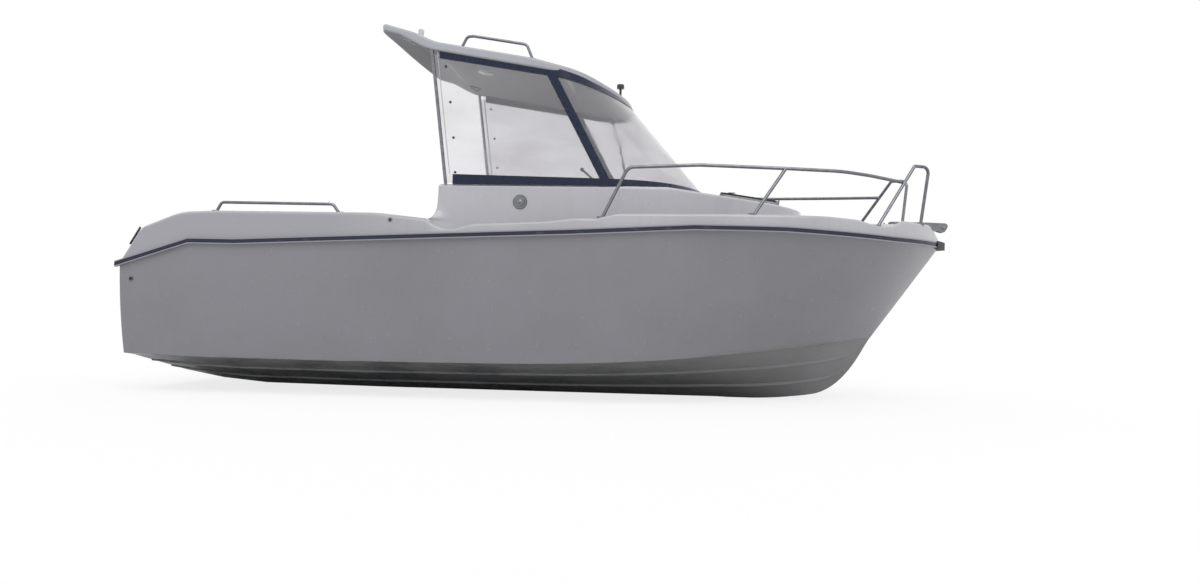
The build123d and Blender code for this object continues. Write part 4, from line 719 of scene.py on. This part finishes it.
# Columns: height, aft edge, half width outside
FLARE = (
    (0.920, -0.772, 0.930), (0.950, -0.790, 0.940), (0.980, -0.822, 0.950), (1.005, -0.846, 0.955),
    (1.023, -0.862, 0.958), (1.028, -0.842, 0.950), (1.036, -0.820, 0.938), (1.048, -0.803, 0.924),
    (1.070, -0.789, 0.905), (1.095, -0.781, 0.891), (1.120, -0.776, 0.884), (1.160, -0.772, 0.8802),
    (1.210, -0.769, 0.879),
)
FLARE_INSIDE = 0.822
FLARE_FORWARD = -0.63
FLARE_ROUND = 0.010
FLARE_CHAMFER = 0.003
FLARE_STEPS = 8
HOUSE_HALF = 0.879
# Columns: x, half width of the flare's inner side, which steps out beside the house's wall
FLARE_INNER = ((-0.75, FLARE_INSIDE), (-0.74, 0.86), (FLARE_FORWARD, 0.86))
ramps = bmesh.new()
flares = bmesh.new()
for sign in SIDES.values():
    sections = []
    for step in range(RAMP_STEPS + 1):
        left = (1 - step / RAMP_STEPS) ** 2
        x = RAMP_AFT + RAMP_LENGTH * step / RAMP_STEPS
        over = [(y, low + (high - low) * left) for y, high, low in RAMP_SECTION]
        outline = over + [(RAMP_SECTION[-1][0], RAMP_FLOOR), (RAMP_SECTION[0][0], RAMP_FLOOR)]
        sections.append([(x, sign * y, z) for y, z in outline])
    lofted(ramps, sections)
    sections = []
    for z, aft, out in FLARE:
        outline = []
        for step in range(FLARE_STEPS, -1, -1):
            share = step / FLARE_STEPS
            x = aft + FLARE_ROUND + (FLARE_FORWARD - aft - FLARE_ROUND) * share
            outline.append((x, HOUSE_HALF + (out - HOUSE_HALF) * (1 - share) ** 2))
        outline += [(aft + FLARE_CHAMFER, out - FLARE_CHAMFER), (aft, out - FLARE_ROUND),
                    (aft, FLARE_INSIDE + FLARE_ROUND), (aft + FLARE_CHAMFER, FLARE_INSIDE + FLARE_CHAMFER),
                    (aft + FLARE_ROUND, FLARE_INSIDE), *FLARE_INNER]
        sections.append([(x, sign * y, z) for x, y in outline])
    lofted(flares, sections)
new_piece("coaming_ramps", ramps, DECK)
new_piece("house_flares", flares, WHITE)

# Deck fittings: filler cap rim, screws at the rails' feet and the cleats

FILLER_X = -0.146
FILLER_Z = 1.169
FILLER_WALL_Y = -0.880
FILLER_RAY_Y = -1.2
# Radius of the screws' circle, screws, angle of the first
FILLER_SCREWS = (0.044, 6, 0.3)
FILLER_PIN_X = 0.019
FILLER_RIM = ((0.030, -0.001), (0.030, 0.0012), (0.0285, 0.002), (0.027, 0.0006), (0.012, 0.0006),
              (0.010, 0.0018), (0, 0.0022))
FILLER_PIN = ((0.003, 0), (0.003, 0.0012), (0, 0.0014))
GASKET_AND_SHADOW = ((0.0535, 0), (0.0535, 0.0022), (0.0515, 0.0032), (0.0498, 0.0032))
cap = bmesh.new()
place, normal = meet("filler_cap", (FILLER_X, FILLER_RAY_Y, FILLER_Z), PORT)
turned(cap, place, normal, FILLER_RIM, 40)
for sign in (-1, 1):
    turned(cap, place + Vector((sign * FILLER_PIN_X, 0, 0)), normal, FILLER_PIN, 14)
for offset_x, offset_z in circle(*FILLER_SCREWS):
    screw(cap, "filler_cap", (FILLER_X + offset_x, FILLER_RAY_Y, FILLER_Z + offset_z), PORT)
new_piece("filler_cap_detail", cap, STEEL)
# Black rubber ring round the cap: a gasket that also stands in for the shadow at the cap's rim, painted
# shadow
gasket_and_shadow = bmesh.new()
turned(gasket_and_shadow, (FILLER_X, FILLER_WALL_Y, FILLER_Z), -PORT, GASKET_AND_SHADOW, 40)
new_piece("filler_gasket_and_shadow", gasket_and_shadow, RUBBER)

# Columns: node, x, half width, ray's start height, radius of the screws' circle, screws
RAIL_FEET = (
    ("pulpit", 0.486, 1.160, 1.065, 0.021, 5),
    ("pulpit", 1.555, 1.158, 1.115, 0.021, 5),
    ("pulpit", 2.472, 0.790, 1.075, 0.021, 5),
    ("pulpit", 2.858, 0.395, 1.125, 0.021, 5),
    ("stern_rails", -2.400, 1.085, 1.09, 0.0175, 4),
    ("stern_rails", -1.438, 1.085, 1.09, 0.0175, 4),
    ("roof_rails", -0.655, 0.700, 2.42, 0.0175, 4),
    ("roof_rails", -0.102, 0.700, 2.33, 0.0175, 4),
)
RAIL_SCREW_FIRST = 0.5
BOW_CLEAT_X = 2.290
CLEAT_SCREW_X = 0.010
CLEAT_SCREW_Y = 0.041
CLEAT_RAY_Z = 1.125
ROLLER_SCREWS_X = (2.735, 2.9)
ROLLER_SCREW_Z = 1.115
ROLLER_RAY_Y = 0.2
ROLLER_AXLE = (3.112, 0.0405, 1.084)
AXLE_END = ((0.0095, -0.003), (0.0095, 0.001), (0.007, 0.003), (0, 0.0034))
foot_screws = bmesh.new()
for node, x, y, high, radius, count in RAIL_FEET:
    for side, sign in SIDES.items():
        name = node + "_" + side if node == "pulpit" else node
        for offset_x, offset_y in circle(radius, count, RAIL_SCREW_FIRST):
            screw(foot_screws, name, (x + offset_x, sign * y + offset_y, high), DOWN, size=0.8)
for offset_x in (-CLEAT_SCREW_X, CLEAT_SCREW_X):
    for offset_y in (-CLEAT_SCREW_Y, CLEAT_SCREW_Y):
        screw(foot_screws, "bow_cleat", (BOW_CLEAT_X + offset_x, offset_y, CLEAT_RAY_Z), DOWN, size=0.9)
for sign in SIDES.values():
    for x in ROLLER_SCREWS_X:
        screw(foot_screws, "bow_roller", (x, sign * ROLLER_RAY_Y, ROLLER_SCREW_Z), (0, -sign, 0), size=2.2)
    x, y, z = ROLLER_AXLE
    turned(foot_screws, (x, sign * y, z), (0, sign, 0), AXLE_END)
new_piece("foot_screws", foot_screws, STEEL)

# Columns: x, half width the ray starts from, z, hole radius
SKIN_HOLES = ((-3.010, 1.3, 0.541, 0.0085), (-1.040, 1.3, 1.000, 0.0065))
# Columns: radius as a share of the hole's, height
SKIN_HOLE = ((1.5, -0.0005), (1.4, 0.0016), (1, 0.0018), (0.9, 0.0004), (0, 0.0003))
# Black dishes in the fittings' openings: painted shade for the dark inside of each hole
hole_shade_discs = bmesh.new()
for sign in SIDES.values():
    for x, y, z, radius in SKIN_HOLES:
        place, normal = meet("skin_fittings", (x, sign * y, z), (0, -sign, 0))
        turned(hole_shade_discs, place, normal, [(radius * share, height) for share, height in SKIN_HOLE], 20)
new_piece("skin_fitting_hole_shade", hole_shade_discs, BLACK)

BOARD_SCREW_Y = 0.17
BOARD_SCREWS_Z = (0.13, 0.31, 0.41)
BOARD_RAY_X = -3.4
board_screws = bmesh.new()
for sign in SIDES.values():
    for z in BOARD_SCREWS_Z:
        screw(board_screws, "motor_board", (BOARD_RAY_X, sign * BOARD_SCREW_Y, z), AHEAD, size=1.8)
new_piece("board_screws", board_screws, STEEL)

# Latches on the hatch, ring pulls on the locker lids, and the door's lock

# Columns: x, z of a fore and aft line on the hatch
HATCH_LINE = ((1.300, 1.218), (1.900, 1.200))
LATCH_X = 1.41
LATCH_Y = 0.13
LATCH_RAY_Z = 1.5
LATCH_KNOB = ((0.017, 0), (0.017, 0.006), (0.013, 0.011), (0.008, 0.013), (0, 0.0135))
HANDLE_RISE = 0.009
HANDLE_LENGTH = 0.052
HANDLE_STEPS = 6
(x0, z0), (x1, z1) = HATCH_LINE
hatch_slope = atan2(z1 - z0, x1 - x0)
hatch_up = Vector((-sin(hatch_slope), 0, cos(hatch_slope)))
hatch_along = Vector((cos(hatch_slope), 0, sin(hatch_slope)))
latches = bmesh.new()
for sign in SIDES.values():
    place, normal = meet("hatch_lid", (LATCH_X, sign * LATCH_Y, LATCH_RAY_Z), DOWN)
    turned(latches, place, normal, LATCH_KNOB)
    start = place + hatch_up * HANDLE_RISE
    run = between(start, start + hatch_along * HANDLE_LENGTH, HANDLE_STEPS)
    swept(latches, run, [hatch_up], strip_section(0.0075, 0.007, 0.002))
new_piece("hatch_latches", latches, BLACK, "hatch_lid")

PULL_PLATE = ((0.026, 0), (0.026, 0.0012), (0.024, 0.0022), (0.019, 0.0022), (0.017, 0.0004), (0, 0.0004))
PULL_RISE = 0.0022
PULL_RADIUS = 0.0135
PULL_WIRE = 0.0016
# Columns: body, x, y, ray's start height
RING_PULLS = (
    ("anchor_lid", 2.405, 0.0, 1.2),
    ("stern_lid_port", -2.64, 0.645, 0.8),
    ("stern_lid_starboard", -2.64, -0.645, 0.8),
)
for body, x, y, high in RING_PULLS:
    pull = bmesh.new()
    place, normal = meet(body, (x, y, high), DOWN)
    turned(pull, place, normal, PULL_PLATE, 32)
    ring = [place + normal * PULL_RISE + Vector((*offset, 0)) for offset in circle(PULL_RADIUS, 24)]
    swept(pull, ring, [normal], circle(PULL_WIRE, 8), loop=True)
    new_piece(body + "_pull", pull, STEEL, body)

LOCK_Y = -0.13
LOCK_PLATE_AT = (0.718, LOCK_Y, 0.7)
LOCK_PLATE = ((0.030, 0), (0.030, 0.0015), (0.027, 0.003), (0.012, 0.003), (0.010, 0.001))
LOCK_BARREL_FROM = (0.4, LOCK_Y, 0.62)
LOCK_BARREL = ((0.014, 0), (0.014, 0.003), (0.011, 0.005), (0.0035, 0.005), (0.003, 0.003), (0, 0.003))
lock = bmesh.new()
turned(lock, LOCK_PLATE_AT, -AHEAD, LOCK_PLATE, 32)
place, normal = meet("cabin_door", LOCK_BARREL_FROM, AHEAD)
turned(lock, place, normal, LOCK_BARREL)
new_piece("door_lock", lock, STEEL, "cabin_door")

# Helm: hub cap and rim grip of the wheel, dials and switches

HELM_AT = Vector((0.385, -0.53, 0.99))
HELM_SLOPE = atan2(0.38, 0.11)
HUB_HEIGHT = 0.1
HUB_CAP = ((0.030, -0.002), (0.030, 0.002), (0.026, 0.006), (0.012, 0.0085), (0, 0.009))
RIM_HEIGHT = 0.095
RIM_RADIUS = 0.175
RIM_RIBS = 72
RIB_RADIUS = 0.0134
RIB_SECTION = bar_section(0.0008, 0.0008, -0.0012, 0.0012)
helm_out = Vector((-sin(HELM_SLOPE), 0, cos(HELM_SLOPE)))
helm_up = Vector((cos(HELM_SLOPE), 0, sin(HELM_SLOPE)))
hub = bmesh.new()
turned(hub, HELM_AT + helm_out * HUB_HEIGHT, helm_out, HUB_CAP, 36)
new_piece("wheel_hub_cap", hub, ALLOY, "steering_wheel")
grips = bmesh.new()
for upward, sideways in circle(1, RIM_RIBS):
    spot = helm_up * upward + PORT * sideways
    along = helm_up * -sideways + PORT * upward
    centre = HELM_AT + helm_out * RIM_HEIGHT + spot * RIM_RADIUS
    ring = [centre + spot * outward + helm_out * height for outward, height in circle(RIB_RADIUS, 14)]
    swept(grips, ring, [along], RIB_SECTION, loop=True)
new_piece("wheel_rim_grip", grips, RUBBER, "steering_wheel")

DASH_X = 0.470
DASH_Z = 1.205
DASH_OUT = Vector((-0.640, 0, 0.768))
DASH_UP = Vector((0.768, 0, 0.640))
# Columns: y, needle's angle
DIALS = ((-0.66, 0.9), (-0.58, 2.1), (-0.50, 1.4))
BEZEL = ((0.031, -0.002), (0.031, 0.005), (0.029, 0.007), (0.0265, 0.0065), (0.026, 0.003))
DIAL_PLATE = ((0.0262, 0.0025), (0, 0.003))
MARK_ANGLES = range(-130, 131, 26)
MARK_HEIGHT = 0.0031
SHORT_MARK = (0.019, 0.0235)
LONG_MARK = (0.0165, 0.0235)
NEEDLE_HEIGHT = 0.0036
NEEDLE = (-0.004, 0.018)
bezels = bmesh.new()
faces = bmesh.new()
marks = bmesh.new()
for y, sweep in DIALS:
    centre = Vector((DASH_X, y, DASH_Z))
    turned(bezels, centre, DASH_OUT, BEZEL, 36)
    turned(faces, centre, DASH_OUT, DIAL_PLATE, 36)
    for step, degrees in enumerate(MARK_ANGLES):
        ray = DASH_UP * cos(radians(degrees)) - PORT * sin(radians(degrees))
        ends = SHORT_MARK if step % 5 else LONG_MARK
        run = [centre + DASH_OUT * MARK_HEIGHT + ray * reach for reach in ends]
        swept(marks, run, [DASH_OUT], strip_section(0.0007, 0.0004, 0.0001))
    ray = DASH_UP * cos(sweep) + PORT * sin(sweep)
    run = [centre + DASH_OUT * NEEDLE_HEIGHT + ray * reach for reach in NEEDLE]
    swept(marks, run, [DASH_OUT], strip_section(0.0009, 0.0005, 0.0002))
new_piece("dial_bezels", bezels, ALLOY)
new_piece("dial_faces", faces, DIAL)
new_piece("dial_marks", marks, MARKS)

PANEL_Y = (-0.44, -0.27)
PANEL_THICKNESS = 0.003
SWITCHES = 5
SWITCH_FIRST = 0.022
SWITCH_PITCH = 0.0315
SWITCH_HALF = 0.009
SWITCH_PRESSED = 0.006
SWITCH_RAISED = 0.009
switches = bmesh.new()
run = [Vector((DASH_X, y, DASH_Z)) for y in PANEL_Y]
swept(switches, run, [DASH_OUT], strip_section(0.026, PANEL_THICKNESS, 0.001))
for step in range(SWITCHES):
    y = PANEL_Y[0] + SWITCH_FIRST + SWITCH_PITCH * step
    run = [Vector((DASH_X, y + offset, DASH_Z)) + DASH_OUT * PANEL_THICKNESS
           for offset in (-SWITCH_HALF, SWITCH_HALF)]
    top = SWITCH_RAISED if step % 2 else SWITCH_PRESSED
    foot = SWITCH_PRESSED + SWITCH_RAISED - top
    swept(switches, run, [DASH_OUT], [(-0.014, 0), (0.014, 0), (0.013, top), (0, 0.0055), (-0.013, foot)])
new_piece("switch_panel", switches, BLACK)

# Wiper: cap, arm and blade

WIPER_HEAD = Vector((0.400, 0.722, 2.036))
WIPER_TIP = Vector((0.500, 0.850, 1.620))
WIPER_OUT = Vector((0.45, 0.85, 0.25)).normalized()
WIPER_CAP = ((0.015, -0.012), (0.015, 0.016), (0.012, 0.021), (0.005, 0.023), (0, 0.0232))
ARM_SECTION = bar_section(0.006, 0.0045, -0.003, 0.004)
ARM_HEAD_RISE = 0.014
ARM_TIP_RISE = 0.020
ARM_STEPS = 10
BLADE_START = 0.42
BLADE_LENGTH = 0.6
BLADE_STEPS = 16
BLADE_RISE = 0.0105
BLADE_SECTION = [(-0.0016, -0.0095), (0.0016, -0.0095), (0.0022, 0), (0.005, 0.001), (0.004, 0.0055),
                 (-0.004, 0.0055), (-0.005, 0.001), (-0.0022, 0)]
YOKE_AT = 0.55
YOKE_RISE = 0.016
YOKE_RADIUS = 0.0045
wiper = bmesh.new()
turned(wiper, WIPER_HEAD, WIPER_OUT, WIPER_CAP)
arm = between(WIPER_HEAD + WIPER_OUT * ARM_HEAD_RISE, WIPER_TIP + WIPER_OUT * ARM_TIP_RISE, ARM_STEPS)
swept(wiper, arm, [WIPER_OUT], ARM_SECTION)
blade = []
blade_out = []
for step in range(BLADE_STEPS + 1):
    share = BLADE_START + BLADE_LENGTH * step / BLADE_STEPS
    spot = WIPER_HEAD + (WIPER_TIP - WIPER_HEAD) * share
    place, normal = meet("windscreen", spot + WIPER_OUT * 0.2, -WIPER_OUT)
    if place is None:
        continue
    blade.append(place + normal * BLADE_RISE)
    blade_out.append(normal)
swept(wiper, blade, blade_out, BLADE_SECTION)
middle = len(blade) // 2
yoke = [blade[middle] + blade_out[middle] * 0.004,
        WIPER_TIP * YOKE_AT + WIPER_HEAD * (1 - YOKE_AT) + WIPER_OUT * YOKE_RISE]
swept(wiper, yoke, [WIPER_OUT.cross(UP)], circle(YOKE_RADIUS, 8))
wiper_piece = new_piece("wiper_blade", wiper, BLACK)
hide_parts("wiper")

# Cushions

PRESSURE = 4.0
SWELL_FRAMES = 20
CUSHION_FOOT = 0.002


def swell(piece, cap):
    """Inflate a cushion as cloth, hold each point within cap of its start and flatten its underside."""
    start = [corner.co.copy() for corner in piece.data.vertices]
    cloth = piece.modifiers.new("swell", "CLOTH")
    cloth.settings.use_pressure = True
    cloth.settings.uniform_pressure_force = PRESSURE
    cloth.settings.effector_weights.gravity = 0
    for number in range(1, SWELL_FRAMES + 1):
        bpy.context.scene.frame_set(number)
    shaped = piece.evaluated_get(bpy.context.evaluated_depsgraph_get())
    moved = [corner.co.copy() for corner in shaped.data.vertices]
    piece.modifiers.remove(cloth)
    bpy.context.scene.frame_set(1)
    for corner, was, now in zip(piece.data.vertices, start, moved):
        step = now - was
        if step.length > cap:
            step *= cap / step.length
        corner.co = was + step
    for corner in piece.data.vertices:
        corner.co.z = max(corner.co.z, 0.0)


def apply_modifiers(piece):
    """Give the piece the mesh that its modifiers make of it."""
    shaped = piece.evaluated_get(bpy.context.evaluated_depsgraph_get())
    mesh = bpy.data.meshes.new_from_object(shaped)
    piece.modifiers.clear()
    piece.data = mesh


def rounded_corners(length, width, radius, steps=6):
    """Plan of a rounded rectangle about the origin."""
    corners = []
    for centre_x, centre_y, first in ((1, 1, 0), (-1, 1, 90), (-1, -1, 180), (1, -1, 270)):
        for step in range(steps + 1):
            angle = radians(first + 90 * step / steps)
            corners.append((centre_x * (length / 2 - radius) + radius * cos(angle),
                            centre_y * (width / 2 - radius) + radius * sin(angle)))
    return corners


def cushion(name, plan, height, voxel, cap, place):
    """Padded form grown from a plan outline, swollen as cloth, smoothed, and set in place."""
    build = bmesh.new()
    base = build.faces.new([build.verts.new((x, y, CUSHION_FOOT)) for x, y in plan])
    grown = bmesh.ops.extrude_face_region(build, geom=[base])["geom"]
    top = [part for part in grown if isinstance(part, bmesh.types.BMVert)]
    bmesh.ops.translate(build, vec=(0, 0, height), verts=top)
    bmesh.ops.recalc_face_normals(build, faces=build.faces)
    mesh = bpy.data.meshes.new(name)
    build.to_mesh(mesh)
    build.free()
    piece = added(name, mesh)
    remesh = piece.modifiers.new("grid", "REMESH")
    remesh.mode = "VOXEL"
    remesh.voxel_size = voxel
    soften = piece.modifiers.new("soften", "SMOOTH")
    soften.factor = 0.6
    soften.iterations = 4
    apply_modifiers(piece)
    swell(piece, cap)
    piece.data.shade_smooth()
    piece.data.materials.clear()
    piece.data.materials.append(VINYL)
    fine = piece.modifiers.new("fine", "SUBSURF")
    fine.levels = 1
    fine.render_levels = 1
    apply_modifiers(piece)
    piece.matrix_world = place
    return piece


SEAM_STEP = 0.02
SEAM_OUT = 0.2


def seam_ring(build, piece, plan, level, radius):
    """Piping round a cushion at a height, laid on its swollen side."""
    skin = skin_of(piece, [corner.co for corner in piece.data.vertices])
    run = []
    outward = []
    for start, end in zip(plan, plan[1:] + plan[:1]):
        steps = max(1, round(dist(start, end) / SEAM_STEP))
        for x, y in between(start, end, steps)[:-1]:
            place, normal = skin.find_nearest(Vector((x, y, level)))[:2]
            run.append(piece.matrix_world @ (place + normal * radius * SEAM_OUT))
            outward.append((piece.matrix_world.to_3x3() @ normal).normalized())
    swept(build, run, outward, circle(radius, 8), loop=True)


def copy_of(piece, name, place):
    """The same cushion in another place."""
    other = added(name, piece.data)
    other.matrix_world = place
    return other


def set_down(origin, turn, side):
    """Place on one side's seat."""
    return Matrix.Translation(Vector(origin) + Vector((0, SIDES[side] * SEAT_Y, 0))) @ turn.to_4x4()


SEAT_Y = 0.5
SEAT_AT = (-0.145, 0, 0.6406)
SEAT_HEIGHT = 0.074
SEAT_SWELL = 0.014
SEAT_PIPING = (0.010, 0.070)
BACK_UP = Vector((-0.1718, 0, 0.9851))
BACK_OUT = Vector((0.9851, 0, 0.1718))
BACK_AT = Vector((-0.3687, 0, 0.750)) + BACK_UP * 0.157 + BACK_OUT * 0.0008
BACK_HEIGHT = 0.052
BACK_SWELL = 0.012
BACK_PIPING = (0.008, 0.052)
PAD_CORNER = 0.05
PAD_GRID = 0.006
PIPING_RADIUS = 0.0032
seat_plan = rounded_corners(0.344, 0.404, PAD_CORNER)
back_plan = rounded_corners(0.300, 0.364, PAD_CORNER)
seat_turn = Matrix.Identity(3)
back_turn = Matrix((BACK_UP, PORT, BACK_OUT)).transposed()
seat_cushion = cushion("seat_pad_starboard", seat_plan, SEAT_HEIGHT, PAD_GRID, SEAT_SWELL,
                       set_down(SEAT_AT, seat_turn, "starboard"))
back_cushion = cushion("back_pad_starboard", back_plan, BACK_HEIGHT, PAD_GRID, BACK_SWELL,
                       set_down(BACK_AT, back_turn, "starboard"))
bpy.context.view_layer.update()
seat_pads = [seat_cushion, copy_of(seat_cushion, "seat_pad_port", set_down(SEAT_AT, seat_turn, "port"))]
back_pads = [back_cushion, copy_of(back_cushion, "back_pad_port", set_down(BACK_AT, back_turn, "port"))]
bpy.context.view_layer.update()
piping = bmesh.new()
for pads, plan, levels in ((seat_pads, seat_plan, SEAT_PIPING), (back_pads, back_plan, BACK_PIPING)):
    for piece in pads:
        for level in levels:
            seam_ring(piping, piece, plan, level, PIPING_RADIUS)
for piece in seat_pads + back_pads:
    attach(piece, "boat")
    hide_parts("pads")
new_piece("pad_piping", piping, PIPING)

BERTH_Z = 0.4806
BERTH_HEIGHT = 0.062
BERTH_SWELL = 0.010
BERTH_GRID = 0.012
BERTH_PIPING = 0.060
BERTH_PIPING_RADIUS = 0.0035
berth_plan = [(1.012, 0.203), (1.012, 0.660), (1.5, 0.594), (2.024, 0.306), (2.024, -0.306), (1.5, -0.594),
              (1.012, -0.660), (1.012, -0.203), (1.343, -0.203), (1.343, 0.203)]
berth = cushion("berth_pad", berth_plan, BERTH_HEIGHT, BERTH_GRID, BERTH_SWELL,
                Matrix.Translation((0, 0, BERTH_Z)))
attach(berth, "boat")
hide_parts("berth_cushion")
bpy.context.view_layer.update()
berth_piping = bmesh.new()
seam_ring(berth_piping, berth, berth_plan, BERTH_PIPING, BERTH_PIPING_RADIUS)
new_piece("berth_piping", berth_piping, PIPING)

# Stage, light and camera

FLOOR_Z = -0.302
FLOOR_SIZE = 60.0
FLOOR_GLOW = 1.1
FLOOR_GLOW_SHARE = 0.72
SKY_UNSEEN = 0.62
SUN_ENERGY = 1.1

bpy.ops.mesh.primitive_plane_add(size=FLOOR_SIZE, location=(0, 0, FLOOR_Z))
floor = bpy.context.object
floor.name = "floor"
floor_tree = Tree("floor_paint")
floor_tone = floor_tree.ramp(floor_tree.noise(0.8, 2), 0, 1)
floor_tree.finish(floor_tree.mix(floor_tone, (0.8, 0.8, 0.8, 1), (0.82, 0.82, 0.82, 1)), 0.9)
nodes, links = floor_tree.nodes, floor_tree.links
glow = nodes.new("ShaderNodeEmission")
glow.inputs["Strength"].default_value = FLOOR_GLOW
path = nodes.new("ShaderNodeLightPath")
share = floor_tree.times(path.outputs["Is Camera Ray"], FLOOR_GLOW_SHARE)
blend = nodes.new("ShaderNodeMixShader")
links.new(share, blend.inputs[0])
links.new(floor_tree.shader.outputs[0], blend.inputs[1])
links.new(glow.outputs[0], blend.inputs[2])
links.new(blend.outputs[0], nodes["Material Output"].inputs["Surface"])
floor.data.materials.append(floor_tree.material)

world = bpy.data.worlds.new("studio")
bpy.context.scene.world = world
world.use_nodes = True
nodes, links = world.node_tree.nodes, world.node_tree.links
background = nodes["Background"]
background.inputs["Color"].default_value = (1, 1, 1, 1)
path = nodes.new("ShaderNodeLightPath")
seen = path.outputs["Is Camera Ray"]
for ray in ("Is Glossy Ray", "Is Transmission Ray"):
    larger = nodes.new("ShaderNodeMath")
    larger.operation = "MAXIMUM"
    links.new(seen, larger.inputs[0])
    links.new(path.outputs[ray], larger.inputs[1])
    seen = larger.outputs[0]
level = nodes.new("ShaderNodeMapRange")
links.new(seen, level.inputs["Value"])
level.inputs["To Min"].default_value = SKY_UNSEEN
level.inputs["To Max"].default_value = 1.0
links.new(level.outputs["Result"], background.inputs["Strength"])

sun = added("soft_sun", bpy.data.lights.new("soft_sun", "SUN"))
sun.data.energy = SUN_ENERGY
sun.data.angle = radians(50)
sun.rotation_euler = (radians(38), radians(12), 0)

PHOTO_WIDTH = 1200
PHOTO_HEIGHT = 584
FOCAL_PIXELS = 1080
VANISHING_POINT = (700, 308)
ROLL = radians(1.2)
CAMERA_AT = (1.2, -8.8, 0.41)
SENSOR_WIDTH = 36

vanishing_x, vanishing_y = VANISHING_POINT
across = Vector((vanishing_x - PHOTO_WIDTH / 2, vanishing_y - PHOTO_HEIGHT / 2, FOCAL_PIXELS)).normalized()
ahead = Vector((cos(ROLL), sin(ROLL), 0))
ahead = (ahead - across * ahead.dot(across)).normalized()
above = ahead.cross(across)
turn = Matrix(((ahead.x, across.x, above.x), (-ahead.y, -across.y, -above.y),
               (-ahead.z, -across.z, -above.z)))
camera = added("camera", bpy.data.cameras.new("camera"))
camera.data.sensor_width = SENSOR_WIDTH
camera.data.lens = SENSOR_WIDTH * FOCAL_PIXELS / PHOTO_WIDTH
camera.matrix_world = Matrix.Translation(CAMERA_AT) @ turn.transposed().to_4x4()
bpy.context.scene.camera = camera
bpy.context.scene.view_settings.view_transform = "Standard"
